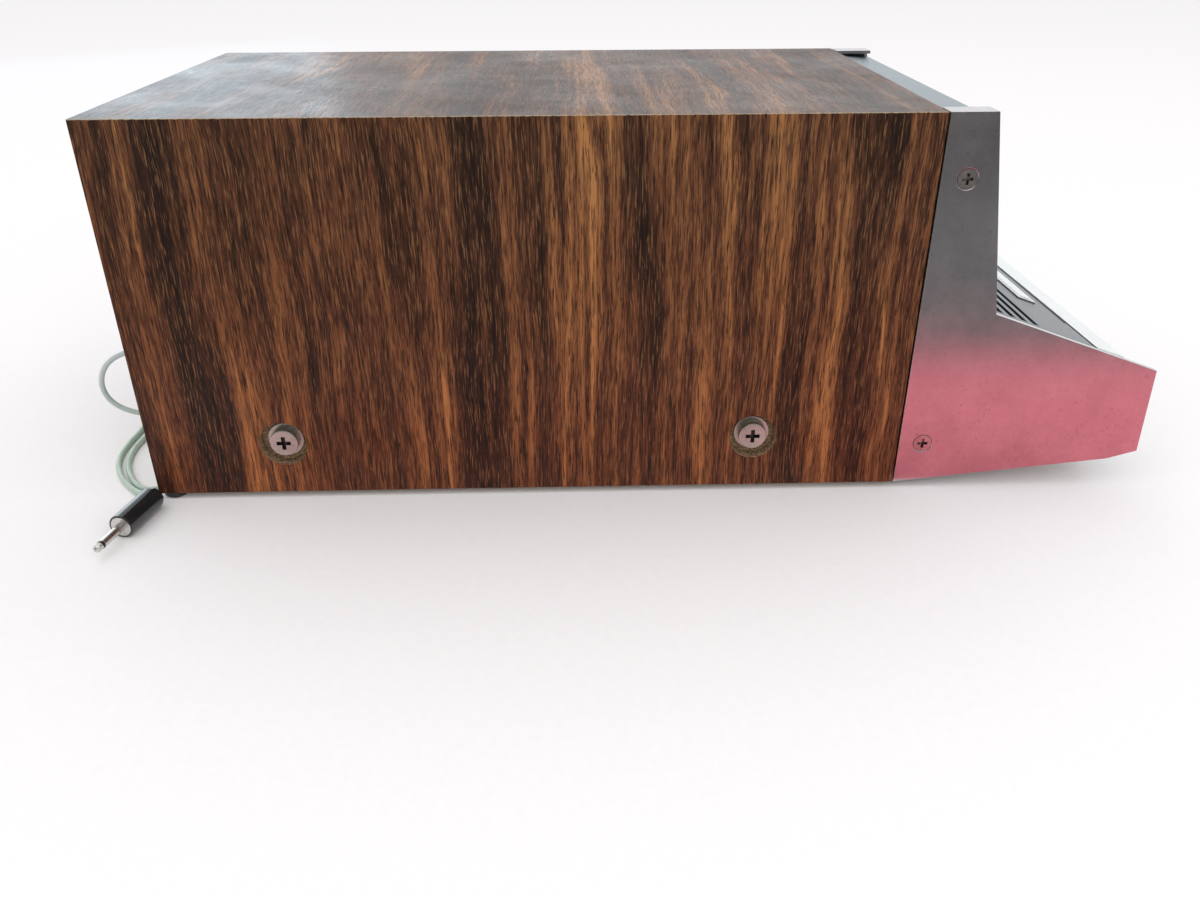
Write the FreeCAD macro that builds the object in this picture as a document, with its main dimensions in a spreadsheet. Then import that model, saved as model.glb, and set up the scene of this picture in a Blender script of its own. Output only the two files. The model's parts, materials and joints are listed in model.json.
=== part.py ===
"""Woodgrain desktop radio receiver: a deep board cover over a steel chassis, with metal end cheeks.

Frame: millimetres, +Z up, the front looks along -Y, the origin is under the middle of the set.
"""

import FreeCAD, Part

import math
import os

import Sketcher
from FreeCAD import Placement, Rotation, Vector

DRIVING = {
    # cover of wrapped board
    "cover_width": 190.0,
    "cover_depth": 320.0,
    "cover_height": 156.6,
    "board": 12.0,
    "foot_height": 3.0,
    "foot_radius": 5.0,
    # side outline of the cheeks, measured from the back of the cover and from its lower edge
    "total_depth": 426.0,
    "cheek_top_depth": 338.8,
    "corner_depth": 352.2,
    "corner_height": 77.6,
    "nose_depth": 424.9,
    "nose_height": 51.5,
    "nose_foot_height": 13.5,
    "kink_depth": 413.8,
    "kink_height": 9.9,
    "cheek_gap": 0.8,
    "cheek_thick": 3.0,
    "flange_width": 7.5,
    "flange_thick": 1.6,
    # fasteners
    "cover_screw_height": 23.3,
    "cover_screw_rear": 57.1,
    "cover_screw_pitch": 200.0,
    "counterbore_radius": 10.0,
    "counterbore_depth": 5.6,
    "cover_head_radius": 6.0,
    "cover_head_height": 3.9,
    "cover_shank_radius": 3.0,
    "cover_shank_length": 16.0,
    "washer_radius": 7.65,
    "washer_thick": 1.2,
    "cheek_screw_depth": 331.0,
    "cheek_screw_low": 18.8,
    "cheek_screw_high": 132.0,
    "cheek_head_radius": 4.0,
    # sheet metal
    "steel": 1.5,
    "pan_steel": 1.2,
    "pan_wall_height": 38.0,
    "back_setback": 12.0,
    "bulkhead_height": 63.0,
    # fascia and dial
    "panel_thick": 2.0,
    "panel_recess": 0.8,
    "fascia_top_gap": 6.6,
    "window_width": 150.0,
    "window_height": 26.0,
    "window_low": 46.0,
    "pointer_travel": 62.0,
    "knob_row": 20.0,
    "volume_across": 46.0,
    "tone_across": 8.0,
    "tuning_across": 58.0,
    "small_knob_radius": 13.0,
    "tuning_knob_radius": 17.0,
    "knob_length": 14.0,
    "shaft_radius": 3.0,
    "drum_radius": 39.2,
    "drum_row": 15.0,
    "pulley_across": 74.0,
    "pulley_row": 68.0,
    "pulley_radius": 4.9,
    "cord_radius": 0.4,
    "cord_depth": 14.8,
    "gang_half": 21.0,
    "gang_length": 35.6,
    "gang_setback": 8.0,
    # ledge
    "slot_count": 4.0,
    "slot_pitch": 5.7,
    "slot_width": 2.6,
    "slot_first": 5.9,
    "slot_length": 173.0,
    "ledge_panel_length": 50.0,
    "trim_start": 51.2,
    "trim_end": 65.0,
    "button_width": 24.0,
    "button_height": 11.0,
    "button_pitch": 34.0,
    "button_row": 17.0,
    "button_reach": 6.0,
    "speaker_radius": 28.0,
    # audio lead and its plug
    "lead_radius": 1.25,
    "coil_radius": 14.0,
    "coil_half_bundle": 3.9,
    "plug_shaft_radius": 1.75,
    "plug_shaft_length": 17.0,
    "plug_handle_radius": 5.1,
    "plug_handle_length": 25.6,
}

doc = FreeCAD.newDocument("radio_receiver")
sheet = doc.addObject("Spreadsheet::Sheet", "Dims")
for row_number, (alias, amount) in enumerate(DRIVING.items(), start=1):
    sheet.set(f"A{row_number}", alias)
    sheet.set(f"B{row_number}", str(amount))
    sheet.setAlias(f"B{row_number}", alias)
doc.recompute()


class Size:
    """A length that knows its value in millimetres and its formula over the spreadsheet."""

    def __init__(self, value, formula):
        self.value = value
        self.formula = formula

    @staticmethod
    def of(other):
        return other if isinstance(other, Size) else Size(float(other), f"{float(other):.6f}")

    def join(self, other, sign, value):
        return Size(value, f"({self.formula} {sign} {other.formula})")

    def __add__(self, other):
        other = Size.of(other)
        return self.join(other, "+", self.value + other.value)

    def __sub__(self, other):
        other = Size.of(other)
        return self.join(other, "-", self.value - other.value)

    def __mul__(self, other):
        other = Size.of(other)
        return self.join(other, "*", self.value * other.value)

    def __truediv__(self, other):
        other = Size.of(other)
        return self.join(other, "/", self.value / other.value)

    def __neg__(self):
        return Size(-self.value, f"(0 - {self.formula})")

    def __radd__(self, other):
        return Size.of(other) + self

    def __rsub__(self, other):
        return Size.of(other) - self

    def __rmul__(self, other):
        return Size.of(other) * self


def dim(alias):
    return Size(float(sheet.get(alias)), f"Dims.{alias}")


def bind(thing, path, size):
    """Set a property to a size: by its formula when it has one, else as a plain number."""
    if isinstance(size, Size) and "Dims." in size.formula:
        thing.setExpression(path, size.formula)
    elif path.startswith("Placement.Base."):
        spot = thing.Placement.Base
        setattr(spot, path[-1], Size.of(size).value)
        thing.Placement = Placement(spot, thing.Placement.Rotation)
    else:
        setattr(thing, path, Size.of(size).value)


def put(thing, at, turn=None):
    """Place an object: its turn first, then the point, whose coordinates may be formulas."""
    values = [Size.of(part).value for part in at]
    thing.Placement = Placement(Vector(*values), turn or Rotation())
    for letter, part in zip("xyz", at):
        if isinstance(part, Size) and "Dims." in part.formula:
            thing.setExpression(f"Placement.Base.{letter}", part.formula)
    return thing


ALONG = {
    "x": Rotation(Vector(0, 1, 0), 90),
    "-x": Rotation(Vector(0, 1, 0), -90),
    "y": Rotation(Vector(1, 0, 0), -90),
    "-y": Rotation(Vector(1, 0, 0), 90),
    "z": Rotation(),
    "-z": Rotation(Vector(1, 0, 0), 180),
}


def block(name, size, at):
    """A box with its low corner at a point."""
    thing = doc.addObject("Part::Box", name)
    for path, length in zip(("Length", "Width", "Height"), size):
        bind(thing, path, length)
    return put(thing, at)


def slab(name, across, deep, high):
    """A box given by its low and high ends along X, Y and Z."""
    size = [Size.of(ends[1]) - ends[0] for ends in (across, deep, high)]
    return block(name, size, (across[0], deep[0], high[0]))


def rod(name, radius, length, at, along="z"):
    thing = doc.addObject("Part::Cylinder", name)
    bind(thing, "Radius", radius)
    bind(thing, "Height", length)
    return put(thing, at, ALONG[along])


def cone(name, low_radius, high_radius, length, at, along="z"):
    thing = doc.addObject("Part::Cone", name)
    bind(thing, "Radius1", low_radius)
    bind(thing, "Radius2", high_radius)
    bind(thing, "Height", length)
    return put(thing, at, ALONG[along])


def group(name, items):
    thing = doc.addObject("Part::Compound", name)
    thing.Links = list(items)
    return thing


def fuse(name, items):
    thing = doc.addObject("Part::MultiFuse", name)
    thing.Shapes = list(items)
    return thing


def cut(name, base, tools):
    thing = doc.addObject("Part::Cut", name)
    thing.Base = base
    tools = list(tools)
    thing.Tool = tools[0] if len(tools) == 1 else fuse(f"{name}_tools", tools)
    return thing


def outline(body, plane, points):
    """A closed sketch of straight edges on an origin plane, every corner bound to its sizes."""
    sketch = body.newObject("Sketcher::SketchObject", f"{body.Name}_sketch")
    origin_plane = next(item for item in body.Origin.OriginFeatures if item.Role == plane)
    sketch.AttachmentSupport = [(origin_plane, "")]
    sketch.MapMode = "FlatFace"
    corners = [Vector(Size.of(a).value, Size.of(b).value, 0) for a, b in points]
    count = len(corners)
    for index, corner in enumerate(corners):
        sketch.addGeometry(Part.LineSegment(corner, corners[(index + 1) % count]), False)
    for index in range(count):
        sketch.addConstraint(Sketcher.Constraint("Coincident", index, 2, (index + 1) % count, 1))
    for index, corner in enumerate(corners):
        for kind, number, size in (
            ("DistanceX", corner.x, points[index][0]),
            ("DistanceY", corner.y, points[index][1]),
        ):
            made = sketch.addConstraint(Sketcher.Constraint(kind, index, 1, number))
            if isinstance(size, Size) and "Dims." in size.formula:
                sketch.setExpression(f"Constraints[{made}]", size.formula)
    return sketch


def prism(name, plane, points, length, at=(0, 0, 0), turn=None):
    """A padded outline. YZ pads run along +X, XZ pads along -Y, XY pads along +Z."""
    body = doc.addObject("PartDesign::Body", name)
    sketch = outline(body, plane, points)
    pad = body.newObject("PartDesign::Pad", f"{name}_pad")
    pad.Profile = sketch
    bind(pad, "Length", length)
    sketch.Visibility = False
    return put(body, at, turn)


def turned(name, points, at=(0, 0, 0), along="z"):
    """A turned piece: a half outline of (radius, height) points spun about its own axis."""
    body = doc.addObject("PartDesign::Body", name)
    sketch = outline(body, "XZ_Plane", points)
    spin = body.newObject("PartDesign::Revolution", f"{name}_spin")
    spin.Profile = sketch
    spin.ReferenceAxis = (sketch, ["V_Axis"])
    spin.Angle = 360.0
    sketch.Visibility = False
    return put(body, at, ALONG[along])


nodes = {}


def sub_part(label, thing, frame=None):
    """Register a finished sub-part under its own label, moved as a whole into its frame."""
    if frame is not None:
        thing = group(f"{label}_placed", [thing])
        thing.Placement = frame
    thing.Label = label
    nodes[label] = thing
    return thing


# ---------------------------------------------------------------- shared places
half_width = dim("cover_width") / 2
back_y = dim("total_depth") / 2
cover_front_y = back_y - dim("cover_depth")
lower_z = dim("foot_height")
cover_top_z = lower_z + dim("cover_height")
inner_x = half_width - dim("board")
cheek_inner_x = half_width - dim("cheek_thick")
frame_inner_x = cheek_inner_x - dim("steel")
panel_half = frame_inner_x - 0.2
pan_x = inner_x - 0.8
pan_z = lower_z + 2
pan_floor_z = pan_z + dim("pan_steel")
back_panel_y = back_y - dim("back_setback")
bulkhead_y = cover_front_y - 1.0


# places on the back, as X and Z
LEAD_EXIT = (-35, 44)
JACK = (-60, 90)
BACK_SCREWS = [(-70, 12), (-70, 34), (70, 12), (70, 34)]


def depth_y(alias):
    return back_y - dim(alias)


def height_z(alias):
    return lower_z + dim(alias)


corner_y = depth_y("corner_depth")
corner_z = height_z("corner_height")
nose_y = depth_y("nose_depth")
nose_z = height_z("nose_height")
top_front_y = depth_y("cheek_top_depth")

fascia_run = top_front_y.value - corner_y.value
fascia_rise = cover_top_z.value - corner_z.value
fascia_tilt = math.degrees(math.atan2(fascia_run, fascia_rise))
fascia_length = math.hypot(fascia_run, fascia_rise)
ledge_run = corner_y.value - nose_y.value
ledge_drop = corner_z.value - nose_z.value
ledge_tilt = math.degrees(math.atan2(ledge_drop, ledge_run))

# In the fascia's frame +Y goes into the set and +Z runs up the leaning panel.
FASCIA = Placement(
    Vector(0, corner_y.value, corner_z.value), Rotation(Vector(1, 0, 0), -fascia_tilt)
)
# In the ledge's frame -Y runs forward down the slope and +Z stands off its face.
LEDGE = Placement(
    Vector(0, corner_y.value, corner_z.value), Rotation(Vector(1, 0, 0), ledge_tilt)
)


def cross_recess(name, at, along, width, depth):
    """The cutter for a cross-shaped driver recess, its mouth at a point of the head."""
    arm = width * 0.28
    flat = [
        block(f"{name}_a", (width, arm, depth), (-width / 2, -arm / 2, 0)),
        block(f"{name}_b", (arm, width, depth), (-arm / 2, -width / 2, 0)),
    ]
    return put(fuse(name, flat), at, ALONG[along])


def pan_screw(name, at, along, radius, head, shank, length):
    """A pan-head screw: its seat at a point, the shank along a direction."""
    profile = [
        (0, -head),
        (radius * 0.91, -head),
        (radius * 0.98, head * -0.92),
        (radius, head * -0.8),
        (radius, 0),
        (shank, 0),
        (shank, length),
        (0, length),
    ]
    blank = turned(f"{name}_blank", profile, at, along)
    reach = {"x": (-1, 0, 0), "-x": (1, 0, 0), "y": (0, -1, 0), "-y": (0, 1, 0)}[along]
    mouth = [place + step * (head + 0.01) for place, step in zip(at, reach)]
    slot = cross_recess(f"{name}_slot", mouth, along, Size.of(radius).value, 2.2)
    return cut(name, blank, [slot])


def flat_screw(name, at, along, radius, shank, length):
    """A countersunk screw: the middle of its flush head at a point, the shank along a direction."""
    profile = [
        (0, 0),
        (radius, 0),
        (radius, 0.2),
        (shank, radius - shank + 0.2),
        (shank, length),
        (0, length),
    ]
    blank = turned(f"{name}_blank", profile, at, along)
    slot = cross_recess(f"{name}_slot", at, along, Size.of(radius).value * 1.1, 1.6)
    return cut(name, blank, [slot])


# ---------------------------------------------------------------- wood cover
def build_cover():
    section = [
        (-half_width, lower_z),
        (-inner_x, lower_z),
        (-inner_x, cover_top_z - dim("board")),
        (inner_x, cover_top_z - dim("board")),
        (inner_x, lower_z),
        (half_width, lower_z),
        (half_width, cover_top_z),
        (-half_width, cover_top_z),
    ]
    boards = prism("cover_boards", "XZ_Plane", section, dim("cover_depth"), (0, back_y, 0))
    holes = []
    screws = []
    washers = []
    screw_z = height_z("cover_screw_height")
    seat = dim("counterbore_depth")
    for side, along in ((-1, "x"), (1, "-x")):
        for place in range(2):
            tag = f"{'left' if side < 0 else 'right'}_{place}"
            y = back_y - dim("cover_screw_rear") - dim("cover_screw_pitch") * place
            face = half_width * side
            holes.append(
                rod(f"bore_{tag}", dim("counterbore_radius"), seat, (face, y, screw_z), along)
            )
            holes.append(rod(f"way_{tag}", 3.3, dim("board"), (face, y, screw_z), along))
            ring = face - seat * side
            washer = cut(
                f"washer_{tag}",
                rod(
                    f"washer_disc_{tag}",
                    dim("washer_radius"),
                    dim("washer_thick"),
                    (ring + dim("washer_thick") * side, y, screw_z),
                    along,
                ),
                [rod(f"washer_hole_{tag}", 3.2, 4, (ring + 2.0 * side, y, screw_z), along)],
            )
            washers.append(washer)
            screws.append(
                pan_screw(
                    f"cover_screw_{tag}",
                    (ring + dim("washer_thick") * side, y, screw_z),
                    along,
                    dim("cover_head_radius"),
                    dim("cover_head_height"),
                    dim("cover_shank_radius"),
                    dim("cover_shank_length"),
                )
            )
    sub_part("wood_cover", cut("cover_bored", boards, holes))
    sub_part("cover_screws", group("cover_screw_set", screws))
    sub_part("cover_washers", group("cover_washer_set", washers))

    feet = []
    radius = dim("foot_radius")
    for side in (-1, 1):
        for inset, y in ((5.2, back_y - 5.4), (11.0, cover_front_y + 11.0)):
            profile = [
                (0, 0),
                (radius - 0.8, 0),
                (radius, 0.8),
                (radius, dim("foot_height")),
                (0, dim("foot_height")),
            ]
            feet.append(turned(f"foot_{len(feet)}", profile, ((half_width - inset) * side, y, 0)))
    sub_part("rubber_feet", group("foot_set", feet))


# ---------------------------------------------------------------- cheeks and end frames
def side_outline(inset):
    """The side outline of the front end, pulled in by an inset on every edge."""
    return [
        (cover_front_y - dim("cheek_gap") - inset, lower_z + inset),
        (cover_front_y - dim("cheek_gap") - inset, cover_top_z - inset),
        (top_front_y + inset, cover_top_z - inset),
        (corner_y + inset * 1.1, corner_z - inset * 1.1),
        (nose_y + inset, nose_z - inset),
        (-back_y + inset, height_z("nose_foot_height") + inset),
        (depth_y("kink_depth") + inset, height_z("kink_height") + inset),
    ]


def cheek_screw_spots():
    y = depth_y("cheek_screw_depth")
    return [(y, height_z("cheek_screw_low")), (y, height_z("cheek_screw_high"))]


def build_cheeks():
    screws = []
    for side, label, along in ((-1, "left", "x"), (1, "right", "-x")):
        low_x = -half_width if side < 0 else cheek_inner_x
        plate = prism(
            f"{label}_plate", "YZ_Plane", side_outline(0), dim("cheek_thick"), (low_x, 0, 0)
        )
        flange_x = -cheek_inner_x if side < 0 else cheek_inner_x - dim("flange_width")
        flange = slab(
            f"{label}_flange",
            (flange_x - 0.01, flange_x + dim("flange_width") + 0.01),
            (top_front_y, cover_front_y - dim("cheek_gap")),
            (cover_top_z - dim("flange_thick"), cover_top_z),
        )
        holes = []
        for index, (y, z) in enumerate(cheek_screw_spots()):
            tag = f"{label}_{index}"
            face = half_width * side
            holes.append(rod(f"cheek_hole_{tag}", 2.1, 8, (face, y, z), along))
            holes.append(
                cone(
                    f"cheek_sink_{tag}",
                    dim("cheek_head_radius") + 0.3,
                    1.8,
                    dim("cheek_head_radius") - 1.5,
                    (face, y, z),
                    along,
                )
            )
            screws.append(
                flat_screw(
                    f"cheek_screw_{tag}",
                    (face - 0.15 * side, y, z),
                    along,
                    dim("cheek_head_radius") - 0.1,
                    2.0,
                    6.5,
                )
            )
        fold = fuse(f"{label}_fold", [plate, flange])
        sub_part(f"{label}_cheek", cut(f"{label}_cheek_cut", fold, holes))
        frame_x = -cheek_inner_x if side < 0 else frame_inner_x
        web = prism(f"{label}_web", "YZ_Plane", side_outline(1.7), dim("steel"), (frame_x, 0, 0))
        web_holes = [
            rod(f"web_hole_{label}_{index}", 2.05, 12, (half_width * side, y, z), along)
            for index, (y, z) in enumerate(cheek_screw_spots())
        ]
        sub_part(f"{label}_end_frame", cut(f"{label}_end_cut", web, web_holes))
    sub_part("cheek_screws", group("cheek_screw_set", screws))


def build_front_shell():
    low = pan_z
    plate = slab(
        "bulkhead_plate",
        (-panel_half, panel_half),
        (bulkhead_y - dim("steel"), bulkhead_y),
        (low, low + dim("bulkhead_height")),
    )
    way = slab("bulkhead_way", (-50, 50), (bulkhead_y - 5, bulkhead_y + 5), (20, 50))
    gang_foot = dim("drum_row") - dim("gang_half") - 0.6
    gang_y = cord_plane() + dim("gang_setback")
    shelf = slab(
        "gang_shelf",
        (-dim("gang_half"), dim("gang_half")),
        (gang_y, gang_y + 26),
        (gang_foot - dim("steel"), gang_foot),
    )
    cradle = group("gang_cradle", [shelf])
    cradle.Placement = FASCIA
    sub_part("front_bulkhead", fuse("bulkhead_whole", [cut("bulkhead_cut", plate, [way]), cradle]))

    drop = 2.9
    front_top = cover_top_z - drop
    strip = [
        (cover_front_y - 0.9, cover_top_z - 1.9),
        (top_front_y - 0.2, front_top - 0.6),
        (top_front_y - 0.2, front_top - 3.0),
        (top_front_y + 0.8, front_top - 3.0),
        (top_front_y + 0.8, front_top - 1.8),
        (cover_front_y - 0.9, cover_top_z - 3.1),
    ]
    wide = frame_inner_x - 0.1
    sub_part("top_trim", prism("top_strip", "YZ_Plane", strip, wide * 2, (-wide, 0, 0)))

    nose_face = depth_y("kink_depth") + 0.4
    base = [
        (bulkhead_y - dim("steel") - 0.1, pan_z),
        (bulkhead_y - dim("steel") - 0.1, pan_z + dim("steel")),
        (nose_face + 2.4, height_z("kink_height") + 2.0),
        (nose_face + 2.4, height_z("kink_height") + 0.5),
    ]
    floor = prism("base_sheet", "YZ_Plane", base, panel_half * 2, (-panel_half, 0, 0))
    sub_part("base_plate", floor)


# ---------------------------------------------------------------- ledge and nose
def build_ledge():
    length = dim("ledge_panel_length")
    panel = slab("ledge_sheet", (-panel_half, panel_half), (-length, -1.2), (-2.4, -0.4))
    cuts = []
    slot_half = dim("slot_length") / 2
    for index in range(int(dim("slot_count").value)):
        middle = dim("slot_first") + dim("slot_pitch") * index
        near = -middle - dim("slot_width") / 2
        deep = (near, near + dim("slot_width"))
        cuts.append(slab(f"slot_{index}", (-slot_half, slot_half), deep, (-4, 1)))
    cuts.append(slab("under_line", (-63, 63), (-length + 0.6, -length + 1.6), (-1.2, 1)))
    sub_part("ledge_grille", cut("ledge_cut", panel, cuts), LEDGE)

    plate = slab("badge_plate", (-44, 44), (-42.5, -33.5), (-0.4, 0.2))
    raised = slab("badge_field", (-42, 42), (-41, -35), (0.2, 0.5))
    sub_part("nameplate", fuse("badge", [plate, raised]), LEDGE)

    trim = [
        (-dim("trim_start"), -2.4),
        (-dim("trim_start"), -0.1),
        (-dim("trim_start") - 1.0, 0.0),
        (-dim("trim_end") + 1.0, 0.0),
        (-dim("trim_end"), -1.0),
        (-dim("trim_end"), -6.0),
        (-dim("trim_end") + 1.2, -6.0),
        (-dim("trim_end") + 1.2, -2.4),
    ]
    wide = frame_inner_x - 0.1
    strip = prism("trim_strip", "YZ_Plane", trim, wide * 2, (-wide, 0, 0))
    sub_part("ledge_trim", strip, LEDGE)


def button_places():
    pitch = dim("button_pitch")
    return [("power", pitch * -1.5), ("am", pitch * -0.5), ("fm", pitch * 0.5), ("tape", pitch * 1.5)]


def build_nose():
    face = depth_y("kink_depth") + 0.4
    plate = slab(
        "nose_sheet",
        (-panel_half, panel_half),
        (face, face + dim("panel_thick")),
        (height_z("kink_height") + 1.2, nose_z - 1.8),
    )
    row_z = height_z("kink_height") + dim("button_row")
    wide = dim("button_width")
    high = dim("button_height")
    ways = []
    plungers = []
    for name, x in button_places():
        ways.append(
            slab(
                f"{name}_way",
                (x - wide / 2 - 0.4, x + wide / 2 + 0.4),
                (face - 1, face + 4),
                (row_z - high / 2 - 0.4, row_z + high / 2 + 0.4),
            )
        )
        cap = slab(
            f"{name}_cap",
            (x - wide / 2, x + wide / 2),
            (face - dim("button_reach"), face + 4.5),
            (row_z - high / 2, row_z + high / 2),
        )
        dish_y = face - dim("button_reach") - 21.2
        dish = rod(f"{name}_dish", 22, wide + 2, (x - wide / 2 - 1, dish_y, row_z), "x")
        stem = slab(f"{name}_stem", (x - 2, x + 2), (face + 4.4, face + 16), (row_z - 2, row_z + 2))
        sub_part(f"{name}_button", fuse(f"{name}_key", [cut(f"{name}_dished", cap, [dish]), stem]))
        plungers.append(
            slab(
                f"{name}_channel",
                (x - 2.2, x + 2.2),
                (face + 10, face + 24),
                (row_z - 2.2, row_z + 2.2),
            )
        )
    sub_part("nose_panel", cut("nose_cut", plate, ways))
    bank = slab(
        "bank_block",
        (dim("button_pitch") * -1.5 - 9, dim("button_pitch") * 1.5 + 9),
        (face + 12, face + 27),
        (row_z - 6, row_z + 6),
    )
    sub_part("switch_bank", cut("bank_cut", bank, plungers))


def build_speaker():
    radius = dim("speaker_radius")
    middle = (0, -24, -3.2)
    basket = [
        (radius, 0),
        (radius, -1.2),
        (radius - 3, -1.2),
        (15, -12),
        (12, -12),
        (12, -10.8),
        (14.5, -10.8),
        (radius - 4.5, 0),
    ]
    sub_part("speaker_basket", turned("basket_shell", basket, middle), LEDGE)
    cone_wall = [
        (radius - 5.1, 0),
        (radius - 5.1, -0.5),
        (13.5, -9.6),
        (8, -9.6),
        (6, -8.4),
        (0, -7.8),
        (0, -7.2),
        (6.2, -7.8),
        (8.4, -9.0),
        (13.2, -9.0),
        (radius - 5.8, 0),
    ]
    sub_part("speaker_cone", turned("cone_shell", cone_wall, middle), LEDGE)
    magnet = [(0, -12), (16, -12), (16, -14), (14, -14), (14, -22), (0, -22)]
    sub_part("speaker_magnet", turned("magnet_stack", magnet, middle), LEDGE)


# ---------------------------------------------------------------- fascia, dial and controls
fascia_top = fascia_length - dim("fascia_top_gap")
face_in = dim("panel_recess") + dim("panel_thick")
row = dim("knob_row")


def build_fascia():
    window_low = dim("window_low")
    window_high = window_low + dim("window_height")
    half = dim("window_width") / 2
    sheet_deep = (dim("panel_recess"), face_in)
    plate = slab("fascia_sheet", (-panel_half, panel_half), sheet_deep, (0.6, fascia_top))
    cuts = [slab("window_way", (-half, half), (-1, 5), (window_low, window_high))]
    for x in (-dim("volume_across"), -dim("tone_across"), dim("tuning_across")):
        cuts.append(rod(f"shaft_way_{len(cuts)}", 4.6, 6, (x, -1, row), "y"))
    sub_part("fascia_panel", cut("fascia_cut", plate, cuts), FASCIA)

    lens = slab(
        "lens", (-half - 2, half + 2), (face_in, face_in + 2), (window_low - 2, window_high + 2)
    )
    sub_part("dial_window", lens, FASCIA)

    back = face_in + 7.2
    scale = slab(
        "scale", (-half - 3, half + 3), (back - 1, back), (window_low - 3, window_high + 2)
    )
    sub_part("dial_plate", scale, FASCIA)

    thick = 1.2
    rail_half = dim("pointer_travel") + 19.2
    ear_x = rail_half - thick
    high = (window_low - 6, window_high + 2)
    shelf = slab("bracket_back", (-ear_x, ear_x), (back, back + thick), high)
    ears = [
        slab(f"bracket_ear_{name}", across, (face_in, back + 7), high)
        for name, across in (("left", (-rail_half, -ear_x)), ("right", (ear_x, rail_half)))
    ]
    rail_radius = 1.25
    rail_y = back + 4.2
    rail_z = window_high + 0.4
    bores = [
        rod(f"ear_bore_{side}", rail_radius, 4, ((rail_half - 0.6) * side - 2, rail_y, rail_z), "x")
        for side in (-1, 1)
    ]
    posts = [
        rod(
            f"pulley_post_{side}",
            1.5,
            8.2,
            (dim("pulley_across") * side, back + thick, dim("pulley_row")),
            "y",
        )
        for side in (-1, 1)
    ]
    bracket = fuse("bracket_whole", [shelf, *ears, *posts])
    sub_part("dial_bracket", cut("bracket_cut", bracket, bores), FASCIA)
    rail = rod("rail", rail_radius, rail_half * 2, (-rail_half, rail_y, rail_z), "x")
    sub_part("pointer_rail", rail, FASCIA)

    front = face_in + 4.2
    needle = slab("needle", (-0.6, 0.6), (front, front + 0.8), (window_low - 2, rail_z + 3.1))
    arm = slab("needle_arm", (-0.6, 0.6), (front, rail_y), (rail_z + 2.3, rail_z + 3.1))
    shoe = slab("shoe", (-6, 6), (rail_y - 2.4, rail_y + 2.4), (rail_z - 2.2, rail_z + 2.6))
    bore = rod("shoe_bore", 1.3, 14, (-7, rail_y, rail_z), "x")
    shoe_cut = cut("shoe_bored", shoe, [bore])
    sub_part("dial_pointer", fuse("pointer_whole", [needle, arm, shoe_cut]), FASCIA)


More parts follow.
